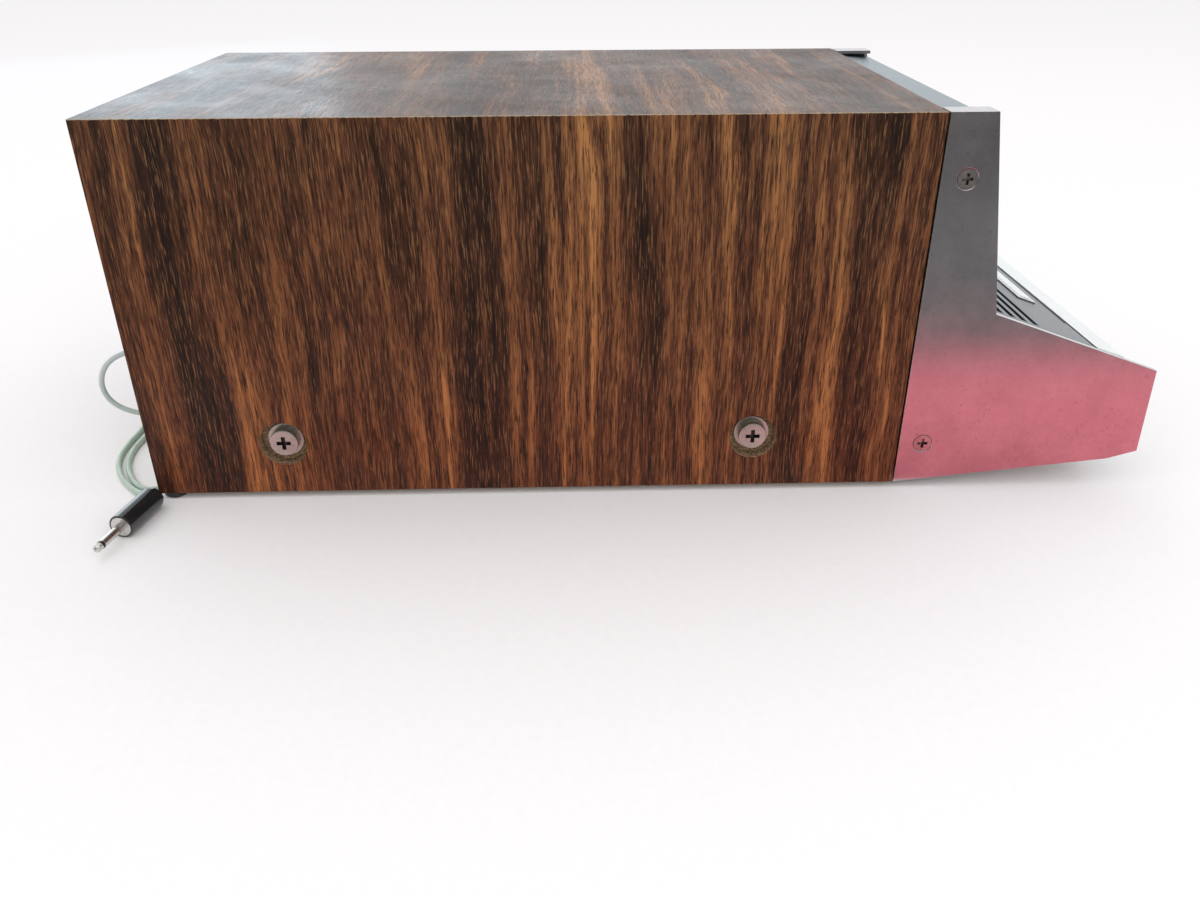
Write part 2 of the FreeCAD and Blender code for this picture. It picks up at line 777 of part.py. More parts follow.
def build_tuning():
    x = dim("tuning_across")
    radius = dim("tuning_knob_radius")
    length = dim("knob_length")
    skirt = [
        (0, 0),
        (radius, 0),
        (radius, 2.2),
        (radius - 1.6, 3.4),
        (radius - 2.2, length - 1.0),
        (radius - 3.2, length),
        (0, length),
    ]
    blank = turned("tuning_blank", skirt, (x, 0, row), "-y")
    well = rod("finger_well", 3.4, 1.6, (x + radius - 7.4, 0.4 - length, row), "-y")
    shaft_end = rod("tuning_seat", dim("shaft_radius"), 10, (x, 1, row), "-y")
    sub_part("tuning_knob", cut("tuning_knob_cut", blank, [well, shaft_end]), FASCIA)

    cord_y = cord_plane()
    spindle = spindle_radius()
    shaft = [
        (0, -9),
        (dim("shaft_radius"), -9),
        (dim("shaft_radius"), cord_y - 2.4),
        (spindle + 1.2, cord_y - 2.4),
        (spindle + 1.2, cord_y - 1.4),
        (spindle, cord_y - 1.0),
        (spindle, cord_y + 1.0),
        (spindle + 1.2, cord_y + 1.4),
        (spindle + 1.2, cord_y + 2.4),
        (0, cord_y + 2.4),
    ]
    sub_part("tuning_shaft", turned("tuning_spindle", shaft, (x, 0, row), "y"), FASCIA)

    drum_r = dim("drum_radius")
    drum = [
        (3.0, -2.4),
        (drum_r + 1.4, -2.4),
        (drum_r + 1.4, -1.2),
        (drum_r, -0.8),
        (drum_r, 0.8),
        (drum_r + 1.4, 1.2),
        (drum_r + 1.4, 2.4),
        (3.0, 2.4),
    ]
    drum_z = dim("drum_row")
    wheel = turned("drum_wheel", drum, (0, cord_y, drum_z), "y")
    windows = []
    for step in range(6):
        angle = math.radians(60 * step)
        spot = (23 * math.cos(angle), cord_y - 4, drum_z + 23 * math.sin(angle))
        windows.append(rod(f"drum_hole_{step}", 9, 8, spot, "y"))
    sub_part("dial_drum", cut("drum_cut", wheel, windows), FASCIA)

    gang_y = cord_y + dim("gang_setback")
    gang_half = dim("gang_half")
    spindle_bar = rod("gang_bar", 3.0, 46, (0, cord_y - 2.6, drum_z), "y")
    vanes = []
    for index in range(7):
        y = gang_y + 5 + 4.2 * index
        disc = rod(f"vane_disc_{index}", 16, 0.8, (0, y, drum_z), "y")
        half = slab(f"vane_half_{index}", (0, 20), (y - 1, y + 2), (drum_z - 20, drum_z + 20))
        vane = doc.addObject("Part::Common", f"vane_{index}")
        vane.Base = disc
        vane.Tool = half
        vanes.append(vane)
    sub_part("gang_rotor", fuse("rotor_whole", [spindle_bar, *vanes]), FASCIA)

    thick = 1.6
    far_y = gang_y + dim("gang_length") - thick
    foot_z = drum_z - gang_half - 0.6
    across = (-gang_half, gang_half)
    walls = [
        slab(f"gang_wall_{index}", across, (y, y + thick), (foot_z + thick, drum_z + 20))
        for index, y in enumerate((gang_y, far_y))
    ]
    floor = slab("gang_floor", across, (gang_y, far_y + thick), (foot_z, foot_z + thick))
    stator = []
    for index in range(8):
        y = gang_y + 2.9 + 4.2 * index
        leaf_high = (foot_z + thick - 0.2, drum_z - 4.4)
        stator.append(slab(f"leaf_{index}", (-18, 18), (y, y + 0.8), leaf_high))
    bearings = [rod("gang_bearing", 3.05, 50, (0, gang_y - 6, drum_z), "y")]
    frame = fuse("gang_whole", [*walls, floor, *stator])
    sub_part("gang_frame", cut("gang_cut", frame, bearings), FASCIA)


def build_pot(label, x):
    radius = dim("small_knob_radius")
    length = dim("knob_length")
    skirt = [
        (0, 0),
        (radius, 0),
        (radius, 2.0),
        (radius - 1.4, 3.0),
        (radius - 2.0, length - 1.0),
        (radius - 3.0, length),
        (0, length),
    ]
    blank = turned(f"{label}_blank", skirt, (x, 0, row), "-y")
    seat = rod(f"{label}_seat", dim("shaft_radius"), 10, (x, 1, row), "-y")
    mark = slab(
        f"{label}_mark",
        (x - 0.5, x + 0.5),
        (-length - 1, 0.7 - length),
        (row + 2, row + radius - 3.4),
    )
    sub_part(f"{label}_knob", cut(f"{label}_knob_cut", blank, [seat, mark]), FASCIA)
    stem = rod(f"{label}_rod", dim("shaft_radius"), 21, (x, -9, row), "y")
    sub_part(f"{label}_shaft", stem, FASCIA)
    case = [
        (3.05, 0.8),
        (4.5, 0.8),
        (4.5, face_in),
        (8.5, face_in),
        (8.5, face_in + 8),
        (3.05, face_in + 8),
    ]
    can = turned(f"{label}_can", case, (x, 0, row), "y")
    tags = slab(f"{label}_tags", (x - 5, x + 5), (face_in + 3, face_in + 4), (row - 13, row - 7))
    sub_part(f"{label}_control", fuse(f"{label}_pot", [can, tags]), FASCIA)


def cord_plane():
    """How far behind the fascia the dial cord, the drum groove and the pulleys lie."""
    return face_in + dim("cord_depth")


def spindle_radius():
    """The spindle just touches the cord's slack side, so its radius comes from that line."""
    start, end = belt_run(right_pulley(), drum_circle())
    line = end - start
    line.normalize()
    offset = Vector(dim("tuning_across").value, row.value, 0) - start
    return abs(offset.x * line.y - offset.y * line.x) - dim("cord_radius").value - 0.05


def drum_circle():
    radius = dim("drum_radius").value + dim("cord_radius").value + 0.05
    return (Vector(0, dim("drum_row").value, 0), radius)


def right_pulley():
    radius = dim("pulley_radius").value + dim("cord_radius").value + 0.05
    return (Vector(dim("pulley_across").value, dim("pulley_row").value, 0), radius)


def left_pulley():
    middle, radius = right_pulley()
    return (Vector(-middle.x, middle.y, 0), radius)


def belt_run(first, second):
    """The ends of the outer tangent from one circle to the next, going clockwise round them."""
    (a, ra), (b, rb) = first, second
    line = b - a
    lean = math.acos((ra - rb) / line.Length)
    angle = math.atan2(line.y, line.x) + lean
    normal = Vector(math.cos(angle), math.sin(angle), 0)
    return a + normal * ra, b + normal * rb


def build_dial_cord():
    circles = [left_pulley(), right_pulley(), drum_circle()]
    runs = [belt_run(circles[index], circles[(index + 1) % 3]) for index in range(3)]
    y = cord_plane().value

    def lift(point):
        return Vector(point.x, y, point.y)

    edges = []
    for index, (start, end) in enumerate(runs):
        middle, radius = circles[(index + 1) % 3]
        after = runs[(index + 1) % 3][0]
        bisector = (end - middle) + (after - middle)
        turn = math.atan2(end.y - middle.y, end.x - middle.x)
        sweep = (turn - math.atan2(after.y - middle.y, after.x - middle.x)) % (2 * math.pi)
        reach = bisector.normalize() * (radius if sweep < math.pi else -radius)
        edges.append(Part.LineSegment(lift(start), lift(end)).toShape())
        edges.append(Part.Arc(lift(end), lift(middle + reach), lift(after)).toShape())
    path = Part.Wire(edges)
    start = edges[0].valueAt(edges[0].FirstParameter)
    tangent = edges[0].tangentAt(edges[0].FirstParameter)
    ring = Part.Wire([Part.Circle(start, tangent, dim("cord_radius").value).toShape()])
    loop = doc.addObject("Part::Feature", "cord_loop")
    loop.Shape = path.makePipeShell([ring], True, True)
    loop.Placement = FASCIA
    print("dial cord", round(path.Length, 1), "mm")
    loop.Label = "dial_cord"
    nodes["dial_cord"] = loop
    groove = dim("pulley_radius")
    for label, x in (("left", -dim("pulley_across")), ("right", dim("pulley_across"))):
        wheel = [
            (1.55, -1.4),
            (groove + 1.0, -1.4),
            (groove, -0.7),
            (groove, 0.7),
            (groove + 1.0, 1.4),
            (1.55, 1.4),
        ]
        middle = (x, cord_plane(), dim("pulley_row"))
        sub_part(f"{label}_pulley", turned(f"{label}_wheel", wheel, middle, "y"), FASCIA)


# ---------------------------------------------------------------- chassis and electronics
def build_chassis():
    thick = dim("pan_steel")
    high = dim("pan_wall_height")
    section = [
        (-pan_x, pan_z),
        (pan_x, pan_z),
        (pan_x, pan_z + high),
        (pan_x - thick, pan_z + high),
        (pan_x - thick, pan_floor_z),
        (thick - pan_x, pan_floor_z),
        (thick - pan_x, pan_z + high),
        (-pan_x, pan_z + high),
    ]
    front = bulkhead_y + 0.1
    rear = back_panel_y - dim("steel")
    trough = prism("pan_trough", "XZ_Plane", section, rear - front, (0, rear, 0))
    apron = slab(
        "pan_apron",
        (thick - pan_x, pan_x - thick),
        (rear - thick, rear),
        (pan_floor_z - 0.1, pan_z + high),
    )
    holes = []
    screw_z = height_z("cover_screw_height")
    for side, along in ((-1, "x"), (1, "-x")):
        for place in range(2):
            y = back_y - dim("cover_screw_rear") - dim("cover_screw_pitch") * place
            spot = (half_width * side, y, screw_z)
            holes.append(rod(f"pan_hole_{side}_{place}", 3.05, 40, spot, along))
    before = back_panel_y - 10
    for x, z in BACK_SCREWS:
        holes.append(rod(f"apron_hole_{x}_{z}", 1.55, 20, (x, before, z), "y"))
    holes.append(rod("apron_gland_way", 6.0, 20, (LEAD_EXIT[0], before, LEAD_EXIT[1]), "y"))
    sub_part("chassis_pan", cut("pan_cut", fuse("pan_fold", [trough, apron]), holes))


def build_back():
    rear = back_panel_y
    plate_top = cover_top_z - dim("board") - 1
    plate = slab("back_sheet", (-pan_x, pan_x), (rear - dim("steel"), rear), (pan_z, plate_top))
    cuts = [
        rod("gland_way", 4.0, 8, (LEAD_EXIT[0], rear - 4, LEAD_EXIT[1]), "y"),
        rod("jack_way", 4.0, 8, (JACK[0], rear - 4, JACK[1]), "y"),
    ]
    for x, z in BACK_SCREWS:
        cuts.append(rod(f"back_hole_{x}_{z}", 1.7, 8, (x, rear - 4, z), "y"))
    for index in range(9):
        x = -20 + 10 * index
        cuts.append(slab(f"vent_{index}", (x - 1.75, x + 1.75), (rear - 4, rear + 4), (108, 136)))
    sub_part("rear_panel", cut("back_cut", plate, cuts))
    screws = [
        pan_screw(f"back_screw_{x}_{z}", (x, rear, z), "-y", 3.0, 2.2, 1.5, 7.0)
        for x, z in BACK_SCREWS
    ]
    sub_part("rear_panel_screws", group("back_screw_set", screws))

    posts = (20, 35, 50)
    post_z = 80
    strip_y = rear + 5
    strip = slab("terminal_strip", (10, 60), (rear, strip_y), (post_z - 8, post_z + 8))
    ways = [rod(f"terminal_way_{x}", 1.5, 6, (x, strip_y + 1, post_z), "-y") for x in posts]
    screws = [
        pan_screw(f"terminal_{x}", (x, strip_y, post_z), "-y", 3.4, 2.4, 1.5, 4.0) for x in posts
    ]
    inlet = cut(
        "inlet",
        slab("inlet_block", (22, 50), (rear, rear + 9), (40, 54)),
        [slab("inlet_well", (24, 48), (rear + 2, rear + 10), (42, 52))],
    )
    pins = [rod(f"inlet_pin_{x}", 1.2, 6, (x, rear + 1.9, 47), "y") for x in (31.5, 40.5)]
    inlet_whole = fuse("inlet_whole", [inlet, *pins])
    cap = [(0, 0), (8, 0), (8, 2), (6.4, 2.4), (6.4, 9), (5.6, 10), (0, 10)]
    holder = turned("fuse_holder", cap, (-5, rear, 47), "y")
    board = cut("strip_cut", strip, ways)
    sub_part("rear_terminals", group("terminal_set", [board, *screws, inlet_whole, holder]))

    barrel = [(1.85, -14), (4.0, -14), (4.0, 0), (5.6, 0), (5.6, 2.2), (1.85, 2.2)]
    sub_part("headphone_jack", turned("jack_barrel", barrel, (JACK[0], rear, JACK[1]), "y"))

    x, z = LEAD_EXIT
    sleeve = [
        (0, -6),
        (4.0, -6),
        (4.0, -dim("steel")),
        (3.95, 0),
        (5.4, 0),
        (5.0, 2.4),
        (2.6, 8.0),
        (0, 8.0),
    ]
    sub_part("lead_gland", turned("gland_sleeve", sleeve, (x, rear, z), "y"))


def build_electronics():
    board_z = pan_floor_z + 7
    board = slab("board", (-62, 62), (-70, 70), (board_z, board_z + 1.6))
    pillars = [
        rod(f"pillar_{x}_{y}", 3, 7, (x, y, pan_floor_z)) for x in (-56, 56) for y in (-64, 64)
    ]
    cans = [
        slab(f"coil_can_{index}", (x, x + 10), (y, y + 10), (board_z + 1.6, board_z + 14.6))
        for index, (x, y) in enumerate(((-50, -50), (-30, -50), (-50, -20), (-30, -20)))
    ]
    sub_part("circuit_board", fuse("board_whole", [board, *pillars]))
    sub_part("coil_cans", group("coil_can_set", cans))

    low = pan_floor_z
    stack_deep = (112, 144)
    stack = slab("core_stack", (-24, 36), stack_deep, (low, low + 50))
    window = slab("core_window", (-14, 26), (110, 146), (low + 10, low + 40))
    limb = slab("core_limb", (-2, 14), stack_deep, (low + 9, low + 41))
    core = fuse("core_whole", [cut("core_cut", stack, [window]), limb])
    sub_part("transformer_core", core)
    spool = slab("spool", (-13.6, 25.6), (102, 154), (low + 10.4, low + 39.6))
    hollow = slab("spool_hollow", (-2.2, 14.2), (111.8, 144.2), (low + 10, low + 40))
    sub_part("transformer_winding", cut("spool_cut", spool, [hollow]))
    tin = [(0, 0), (12.5, 0), (12.5, 42), (11.7, 43), (0, 43)]
    tins = [turned(f"tin_{y}", tin, (-56, y, low)) for y in (100, 130)]
    sub_part("filter_capacitors", group("tin_set", tins))


# ---------------------------------------------------------------- audio lead
EXIT_ROUTE = [
    (-35, 209, 44),
    (-35, 217, 44),
    (-35, 226, 44.8),
    (-35, 236, 45.2),
    (-35, 246, 43),
    (-35, 253.6, 37),
    (-35, 257.2, 27.8),
    (-34.8, 254.8, 18.8),
    (-34.3, 247.2, 13.4),
    (-33.8, 238, 11.4),
    (-33, 229.2, 7.4),
    (-31, 221.2, 3),
    (-26, 215.6, 1.4),
    (-17.5, 214.6, 1.3),
    (-9.5, 219.5, 1.3),
    (-8, 229.5, 1.3),
    (-13.5, 237.5, 1.3),
    (-25, 241, 1.3),
    (-38, 240.7, 1.3),
    (-51, 241.4, 1.3),
    (-63.5, 239.2, 1.3),
    (-74.2, 234.4, 1.3),
    (-82.6, 228.9, 1.3),
    (-87.9, 223.9, 1.3),
    (-89, 218.8, 1.3),
    (-87.1, 213.95, 1.3),
    (-82.85, 210.95, 1.3),
    (-75.5, 210.7, 1.3),
    (-59, 210.5, 1.3),
    (-40, 210.1, 1.3),
    (-21, 209.8, 1.3),
    (-4, 210.2, 1.3),
    (7, 211.7, 1.3),
    (16.5, 215.4, 1.7),
]
TAIL_ROUTE = [
    (20, 247.5, 1.8),
    (10, 248.5, 1.3),
    (-3, 247.5, 1.3),
    (-18, 245.6, 1.3),
    (-33, 245.2, 1.3),
    (-48, 246, 1.3),
    (-62, 244.4, 1.3),
    (-75.4, 238.2, 1.3),
    (-84.7, 231.2, 1.3),
    (-90.6, 225.1, 1.5),
    (-94.3, 219.7, 2.3),
    (-96.7, 215.6, 3.8),
    (-100.1, 213.4, 5.0),
]
COIL_MIDDLE = (25, 232)
PLUG_REAR = (-99.9, 212.6, 5.1)
PLUG_HEADING = 169.0


def lead_path(points):
    """Straight runs joined by tangent arcs, each as large as its two runs allow."""
    spots = [Vector(*point) for point in points]
    edges = []
    radii = []
    cursor = spots[0]
    for before, here, after in zip(spots, spots[1:], spots[2:]):
        arrive = here - before
        leave = after - here
        shorter = min(arrive.Length, leave.Length)
        turn = arrive.getAngle(leave)
        setback = 0.45 * shorter
        radii.append(setback / math.tan(turn / 2))
        arrive.normalize()
        leave.normalize()
        first = here - arrive * setback
        last = here + leave * setback
        inward = leave - arrive
        inward.normalize()
        sagitta = radii[-1] * (1 / math.cos(turn / 2) - 1)
        edges.append(Part.LineSegment(cursor, first).toShape())
        edges.append(Part.Arc(first, here + inward * sagitta, last).toShape())
        cursor = last
    edges.append(Part.LineSegment(cursor, spots[-1]).toShape())
    return Part.Wire(edges), radii


def lead_tube(label, points):
    radius = dim("lead_radius").value
    path, radii = lead_path(points)
    start = Vector(*points[0])
    ring = Part.Wire([Part.Circle(start, Vector(*points[1]) - start, radius).toShape()])
    tube = doc.addObject("Part::Feature", f"{label}_tube")
    tube.Shape = path.makePipeShell([ring], True, False)
    tube.Placement = Placement()
    expected = math.pi * radius**2 * path.Length
    print(label, "length", round(path.Length, 1), "volume ratio", round(tube.Shape.Volume / expected, 4))
    print(label, "radii", [round(value, 1) for value in radii])
    tube.Label = label
    nodes[label] = tube


def build_lead():
    lead_tube("lead_exit", EXIT_ROUTE)
    lead_tube("lead_tail", TAIL_ROUTE)
    middle = dim("coil_radius")
    half = dim("coil_half_bundle")
    section = [
        (middle - half, 1.0),
        (middle - half + 1.0, 0),
        (middle + half - 1.0, 0),
        (middle + half, 1.0),
        (middle + half, half * 2 - 1.0),
        (middle + half - 1.0, half * 2),
        (middle - half + 1.0, half * 2),
        (middle - half, half * 2 - 1.0),
    ]
    sub_part("lead_coil", turned("coil_ring", section, (*COIL_MIDDLE, 0)))

    turn = Rotation(Vector(0, 0, 1), PLUG_HEADING) * Rotation(Vector(0, 1, 0), 90)
    place = Placement(Vector(*PLUG_REAR), turn)
    radius = dim("plug_handle_radius")
    length = dim("plug_handle_length")
    handle = [
        (0, 0),
        (radius - 1.8, 0),
        (radius - 0.5, 1.2),
        (radius, 3.0),
        (radius, length - 0.4),
        (radius - 0.4, length),
        (radius - 0.7, length),
        (radius - 0.7, length - 1.0),
        (0, length - 1.0),
    ]
    sub_part("plug_handle", turned("handle_blank", handle), place)
    tip = dim("plug_shaft_radius")
    reach = length + dim("plug_shaft_length")
    shaft = [
        (0, length - 1.0),
        (radius - 0.8, length - 1.0),
        (radius - 0.8, length - 0.2),
        (tip, length - 0.2),
        (tip, reach - 4.6),
        (tip - 0.45, reach - 4.2),
        (tip - 0.45, reach - 3.6),
        (tip - 0.1, reach - 3.2),
        (tip - 0.75, reach - 2.4),
        (tip - 0.1, reach - 1.5),
        (tip - 0.5, reach - 0.5),
        (0, reach),
    ]
    sub_part("plug_shaft", turned("shaft_blank", shaft), place)


build_cover()
build_cheeks()
build_front_shell()
build_ledge()
build_nose()
build_speaker()
build_fascia()
build_tuning()
build_pot("volume", -dim("volume_across"))
build_pot("tone", -dim("tone_across"))
build_dial_cord()
build_chassis()
build_back()
build_electronics()
build_lead()
print("spindle radius", round(spindle_radius(), 3))

doc.recompute()
for item in doc.Objects:
    if "Invalid" in item.State or "Error" in item.State:
        raise RuntimeError(f"{item.Label} did not build: {item.State}")
os.makedirs("parts", exist_ok=True)
for label, item in nodes.items():
    if item.Shape.isNull() or not item.Shape.isValid() or not item.Shape.Solids:
        raise RuntimeError(f"{label} has no valid solid")
    item.Shape.exportStep(os.path.join("parts", f"{label}.step"))
print(len(nodes), "sub-parts")
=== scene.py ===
"""Woodgrain desktop radio receiver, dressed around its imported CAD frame."""
import json
import math

import bmesh
import bpy
from mathutils import Matrix, Vector


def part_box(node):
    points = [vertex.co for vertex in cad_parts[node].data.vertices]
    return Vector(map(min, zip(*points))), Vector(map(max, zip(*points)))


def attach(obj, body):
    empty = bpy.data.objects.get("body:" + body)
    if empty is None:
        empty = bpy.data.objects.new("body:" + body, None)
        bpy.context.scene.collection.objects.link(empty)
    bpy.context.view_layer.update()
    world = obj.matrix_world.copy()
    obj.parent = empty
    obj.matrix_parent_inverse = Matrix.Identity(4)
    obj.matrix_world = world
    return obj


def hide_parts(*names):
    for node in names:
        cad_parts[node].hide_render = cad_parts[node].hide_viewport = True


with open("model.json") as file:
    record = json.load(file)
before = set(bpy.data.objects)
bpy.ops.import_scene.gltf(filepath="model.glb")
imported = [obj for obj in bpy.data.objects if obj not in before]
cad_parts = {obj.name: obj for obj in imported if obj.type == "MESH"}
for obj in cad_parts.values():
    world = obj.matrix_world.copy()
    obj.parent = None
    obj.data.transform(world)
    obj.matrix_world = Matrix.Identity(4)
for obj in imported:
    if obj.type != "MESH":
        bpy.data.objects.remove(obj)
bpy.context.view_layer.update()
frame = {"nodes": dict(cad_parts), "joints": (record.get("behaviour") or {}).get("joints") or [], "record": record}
NODES = frame["nodes"]
SLOTS = {row["node"]: row["material_slot"] for row in frame["record"]["subparts"]}
BODIES = {
    node: body
    for body, members in frame["record"]["behaviour"]["bodies"].items()
    for node in members
}
JOINTS = {joint["name"]: joint for joint in frame["joints"]}
scene = bpy.context.scene
MM = 0.001


# ---------------------------------------------------------------- camera
CAMERA_PLACE = (-0.4694, 0.0302, 0.2249)
CAMERA_YAW = 0.02333
CAMERA_PITCH = math.radians(28.56)
CAMERA_ROLL = -0.004495
SENSOR_WIDTH = 36.0
FOCAL_LENGTH = 29.76


def place_camera():
    """The camera stands beside the left side and looks down on it."""
    cos_yaw, sin_yaw = math.cos(CAMERA_YAW), math.sin(CAMERA_YAW)
    cos_pitch, sin_pitch = math.cos(CAMERA_PITCH), math.sin(CAMERA_PITCH)
    cos_roll, sin_roll = math.cos(CAMERA_ROLL), math.sin(CAMERA_ROLL)
    level_right = Vector((-sin_yaw, -cos_yaw, 0))
    level_down = Vector((-sin_pitch * cos_yaw, sin_pitch * sin_yaw, -cos_pitch))
    ahead = Vector((cos_pitch * cos_yaw, -cos_pitch * sin_yaw, -sin_pitch))
    right = level_right * cos_roll - level_down * sin_roll
    down = level_right * sin_roll + level_down * cos_roll
    lens = bpy.data.cameras.new("camera")
    lens.sensor_width = SENSOR_WIDTH
    lens.lens = FOCAL_LENGTH
    lens.clip_start = 0.01
    camera = bpy.data.objects.new("camera", lens)
    turn = Matrix((right, -down, -ahead)).transposed()
    camera.matrix_world = Matrix.Translation(CAMERA_PLACE) @ turn.to_4x4()
    scene.collection.objects.link(camera)
    scene.camera = camera


place_camera()


# ---------------------------------------------------------------- audio lead
LEAD_RADIUS = 1.25 * MM
EXIT_ROUTE = [
    (-0.035, 0.209, 0.044),
    (-0.035, 0.217, 0.044),
    (-0.035, 0.226, 0.0448),
    (-0.035, 0.236, 0.0452),
    (-0.035, 0.246, 0.043),
    (-0.035, 0.2536, 0.037),
    (-0.035, 0.2572, 0.0278),
    (-0.0348, 0.2548, 0.0188),
    (-0.0343, 0.2472, 0.0134),
    (-0.0338, 0.238, 0.0114),
    (-0.033, 0.2292, 0.0074),
    (-0.031, 0.2212, 0.003),
    (-0.026, 0.2156, 0.0014),
    (-0.0175, 0.2146, 0.0013),
    (-0.0095, 0.2195, 0.0013),
    (-0.008, 0.2295, 0.0013),
    (-0.0135, 0.2375, 0.0013),
    (-0.025, 0.241, 0.0013),
    (-0.038, 0.2407, 0.0013),
    (-0.051, 0.2414, 0.0013),
    (-0.0635, 0.2392, 0.0013),
    (-0.0742, 0.2344, 0.0013),
    (-0.0826, 0.2289, 0.0013),
    (-0.0879, 0.2239, 0.0013),
    (-0.089, 0.2188, 0.0013),
    (-0.0871, 0.21395, 0.0013),
    (-0.08285, 0.21095, 0.0013),
    (-0.0755, 0.2107, 0.0013),
    (-0.059, 0.2105, 0.0013),
    (-0.04, 0.2101, 0.0013),
    (-0.021, 0.2098, 0.0013),
    (-0.004, 0.2102, 0.0013),
    (0.007, 0.2114, 0.0013),
    (0.0165, 0.2136, 0.0013),
]
TAIL_ROUTE = [
    (0.0195, 0.2489, 0.0062),
    (0.0135, 0.2491, 0.0042),
    (0.0065, 0.2485, 0.0016),
    (-0.003, 0.2475, 0.0013),
    (-0.018, 0.2456, 0.0013),
    (-0.033, 0.2452, 0.0013),
    (-0.048, 0.246, 0.0013),
    (-0.062, 0.2444, 0.0013),
    (-0.0754, 0.2382, 0.0013),
    (-0.0847, 0.2312, 0.0013),
    (-0.0906, 0.2251, 0.0015),
    (-0.0943, 0.2197, 0.0023),
    (-0.0967, 0.2156, 0.0038),
    (-0.1001, 0.2134, 0.005),
]
COIL_MIDDLE = (0.025, 0.232)
COIL_START = 270.0
COIL_TURNS = 8.5
COIL_STEP = 24.0
COIL_SWITCH = 300.0
COIL_SWITCH_SPAN = 40.0
COIL_WAVE = 0.25
COIL_RINGS = [  # radius and height of each turn's slot, in millimetres
    (16.6, 1.3), (14.0, 1.3), (11.5, 1.35),
    (11.5, 3.85), (14.0, 3.85), (16.6, 3.85),
    (11.6, 6.35), (14.0, 6.4), (16.5, 6.35),
]


def coil_points():
    """The put-away turns: each one leaves its slot for the next where the tie holds them."""
    points = []
    count = int(COIL_TURNS * 360 / COIL_STEP)
    for index in range(count + 1):
        angle = COIL_START + COIL_STEP * index
        done = (angle - COIL_SWITCH) / 360
        ring = max(0, math.floor(done))
        part = min(1.0, (done - ring) * 360 / COIL_SWITCH_SPAN) if ring else 0.0
        radius, height = COIL_RINGS[max(0, ring - 1)]
        next_radius, next_height = COIL_RINGS[ring]
        wave = COIL_WAVE * math.sin(math.radians(angle * 2.3 + ring * 50))
        radius = (radius + (next_radius - radius) * part + wave) * MM
        height = (height + (next_height - height) * part) * MM
        turn = math.radians(angle)
        points.append(
            (
                COIL_MIDDLE[0] + radius * math.cos(turn),
                COIL_MIDDLE[1] + radius * math.sin(turn),
                height,
            )
        )
    return points


def lead_curve():
    """The whole lead, from the gland through the coil to the plug, as one round curve."""
    points = EXIT_ROUTE + coil_points() + TAIL_ROUTE
    curve = bpy.data.curves.new("audio_lead", "CURVE")
    curve.dimensions = "3D"
    curve.bevel_depth = 1.0
    curve.bevel_resolution = 5
    curve.use_fill_caps = True
    curve.resolution_u = 6
    spline = curve.splines.new("NURBS")
    spline.points.add(len(points) - 1)
    for knot, point in zip(spline.points, points):
        knot.co = (*point, 1.0)
        knot.radius = LEAD_RADIUS
    spline.order_u = 3
    spline.use_endpoint_u = True
    lead = bpy.data.objects.new("audio_lead", curve)
    scene.collection.objects.link(lead)
    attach(lead, "cabinet")
    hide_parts("lead_exit", "lead_coil", "lead_tail")
    return lead


lead = lead_curve()


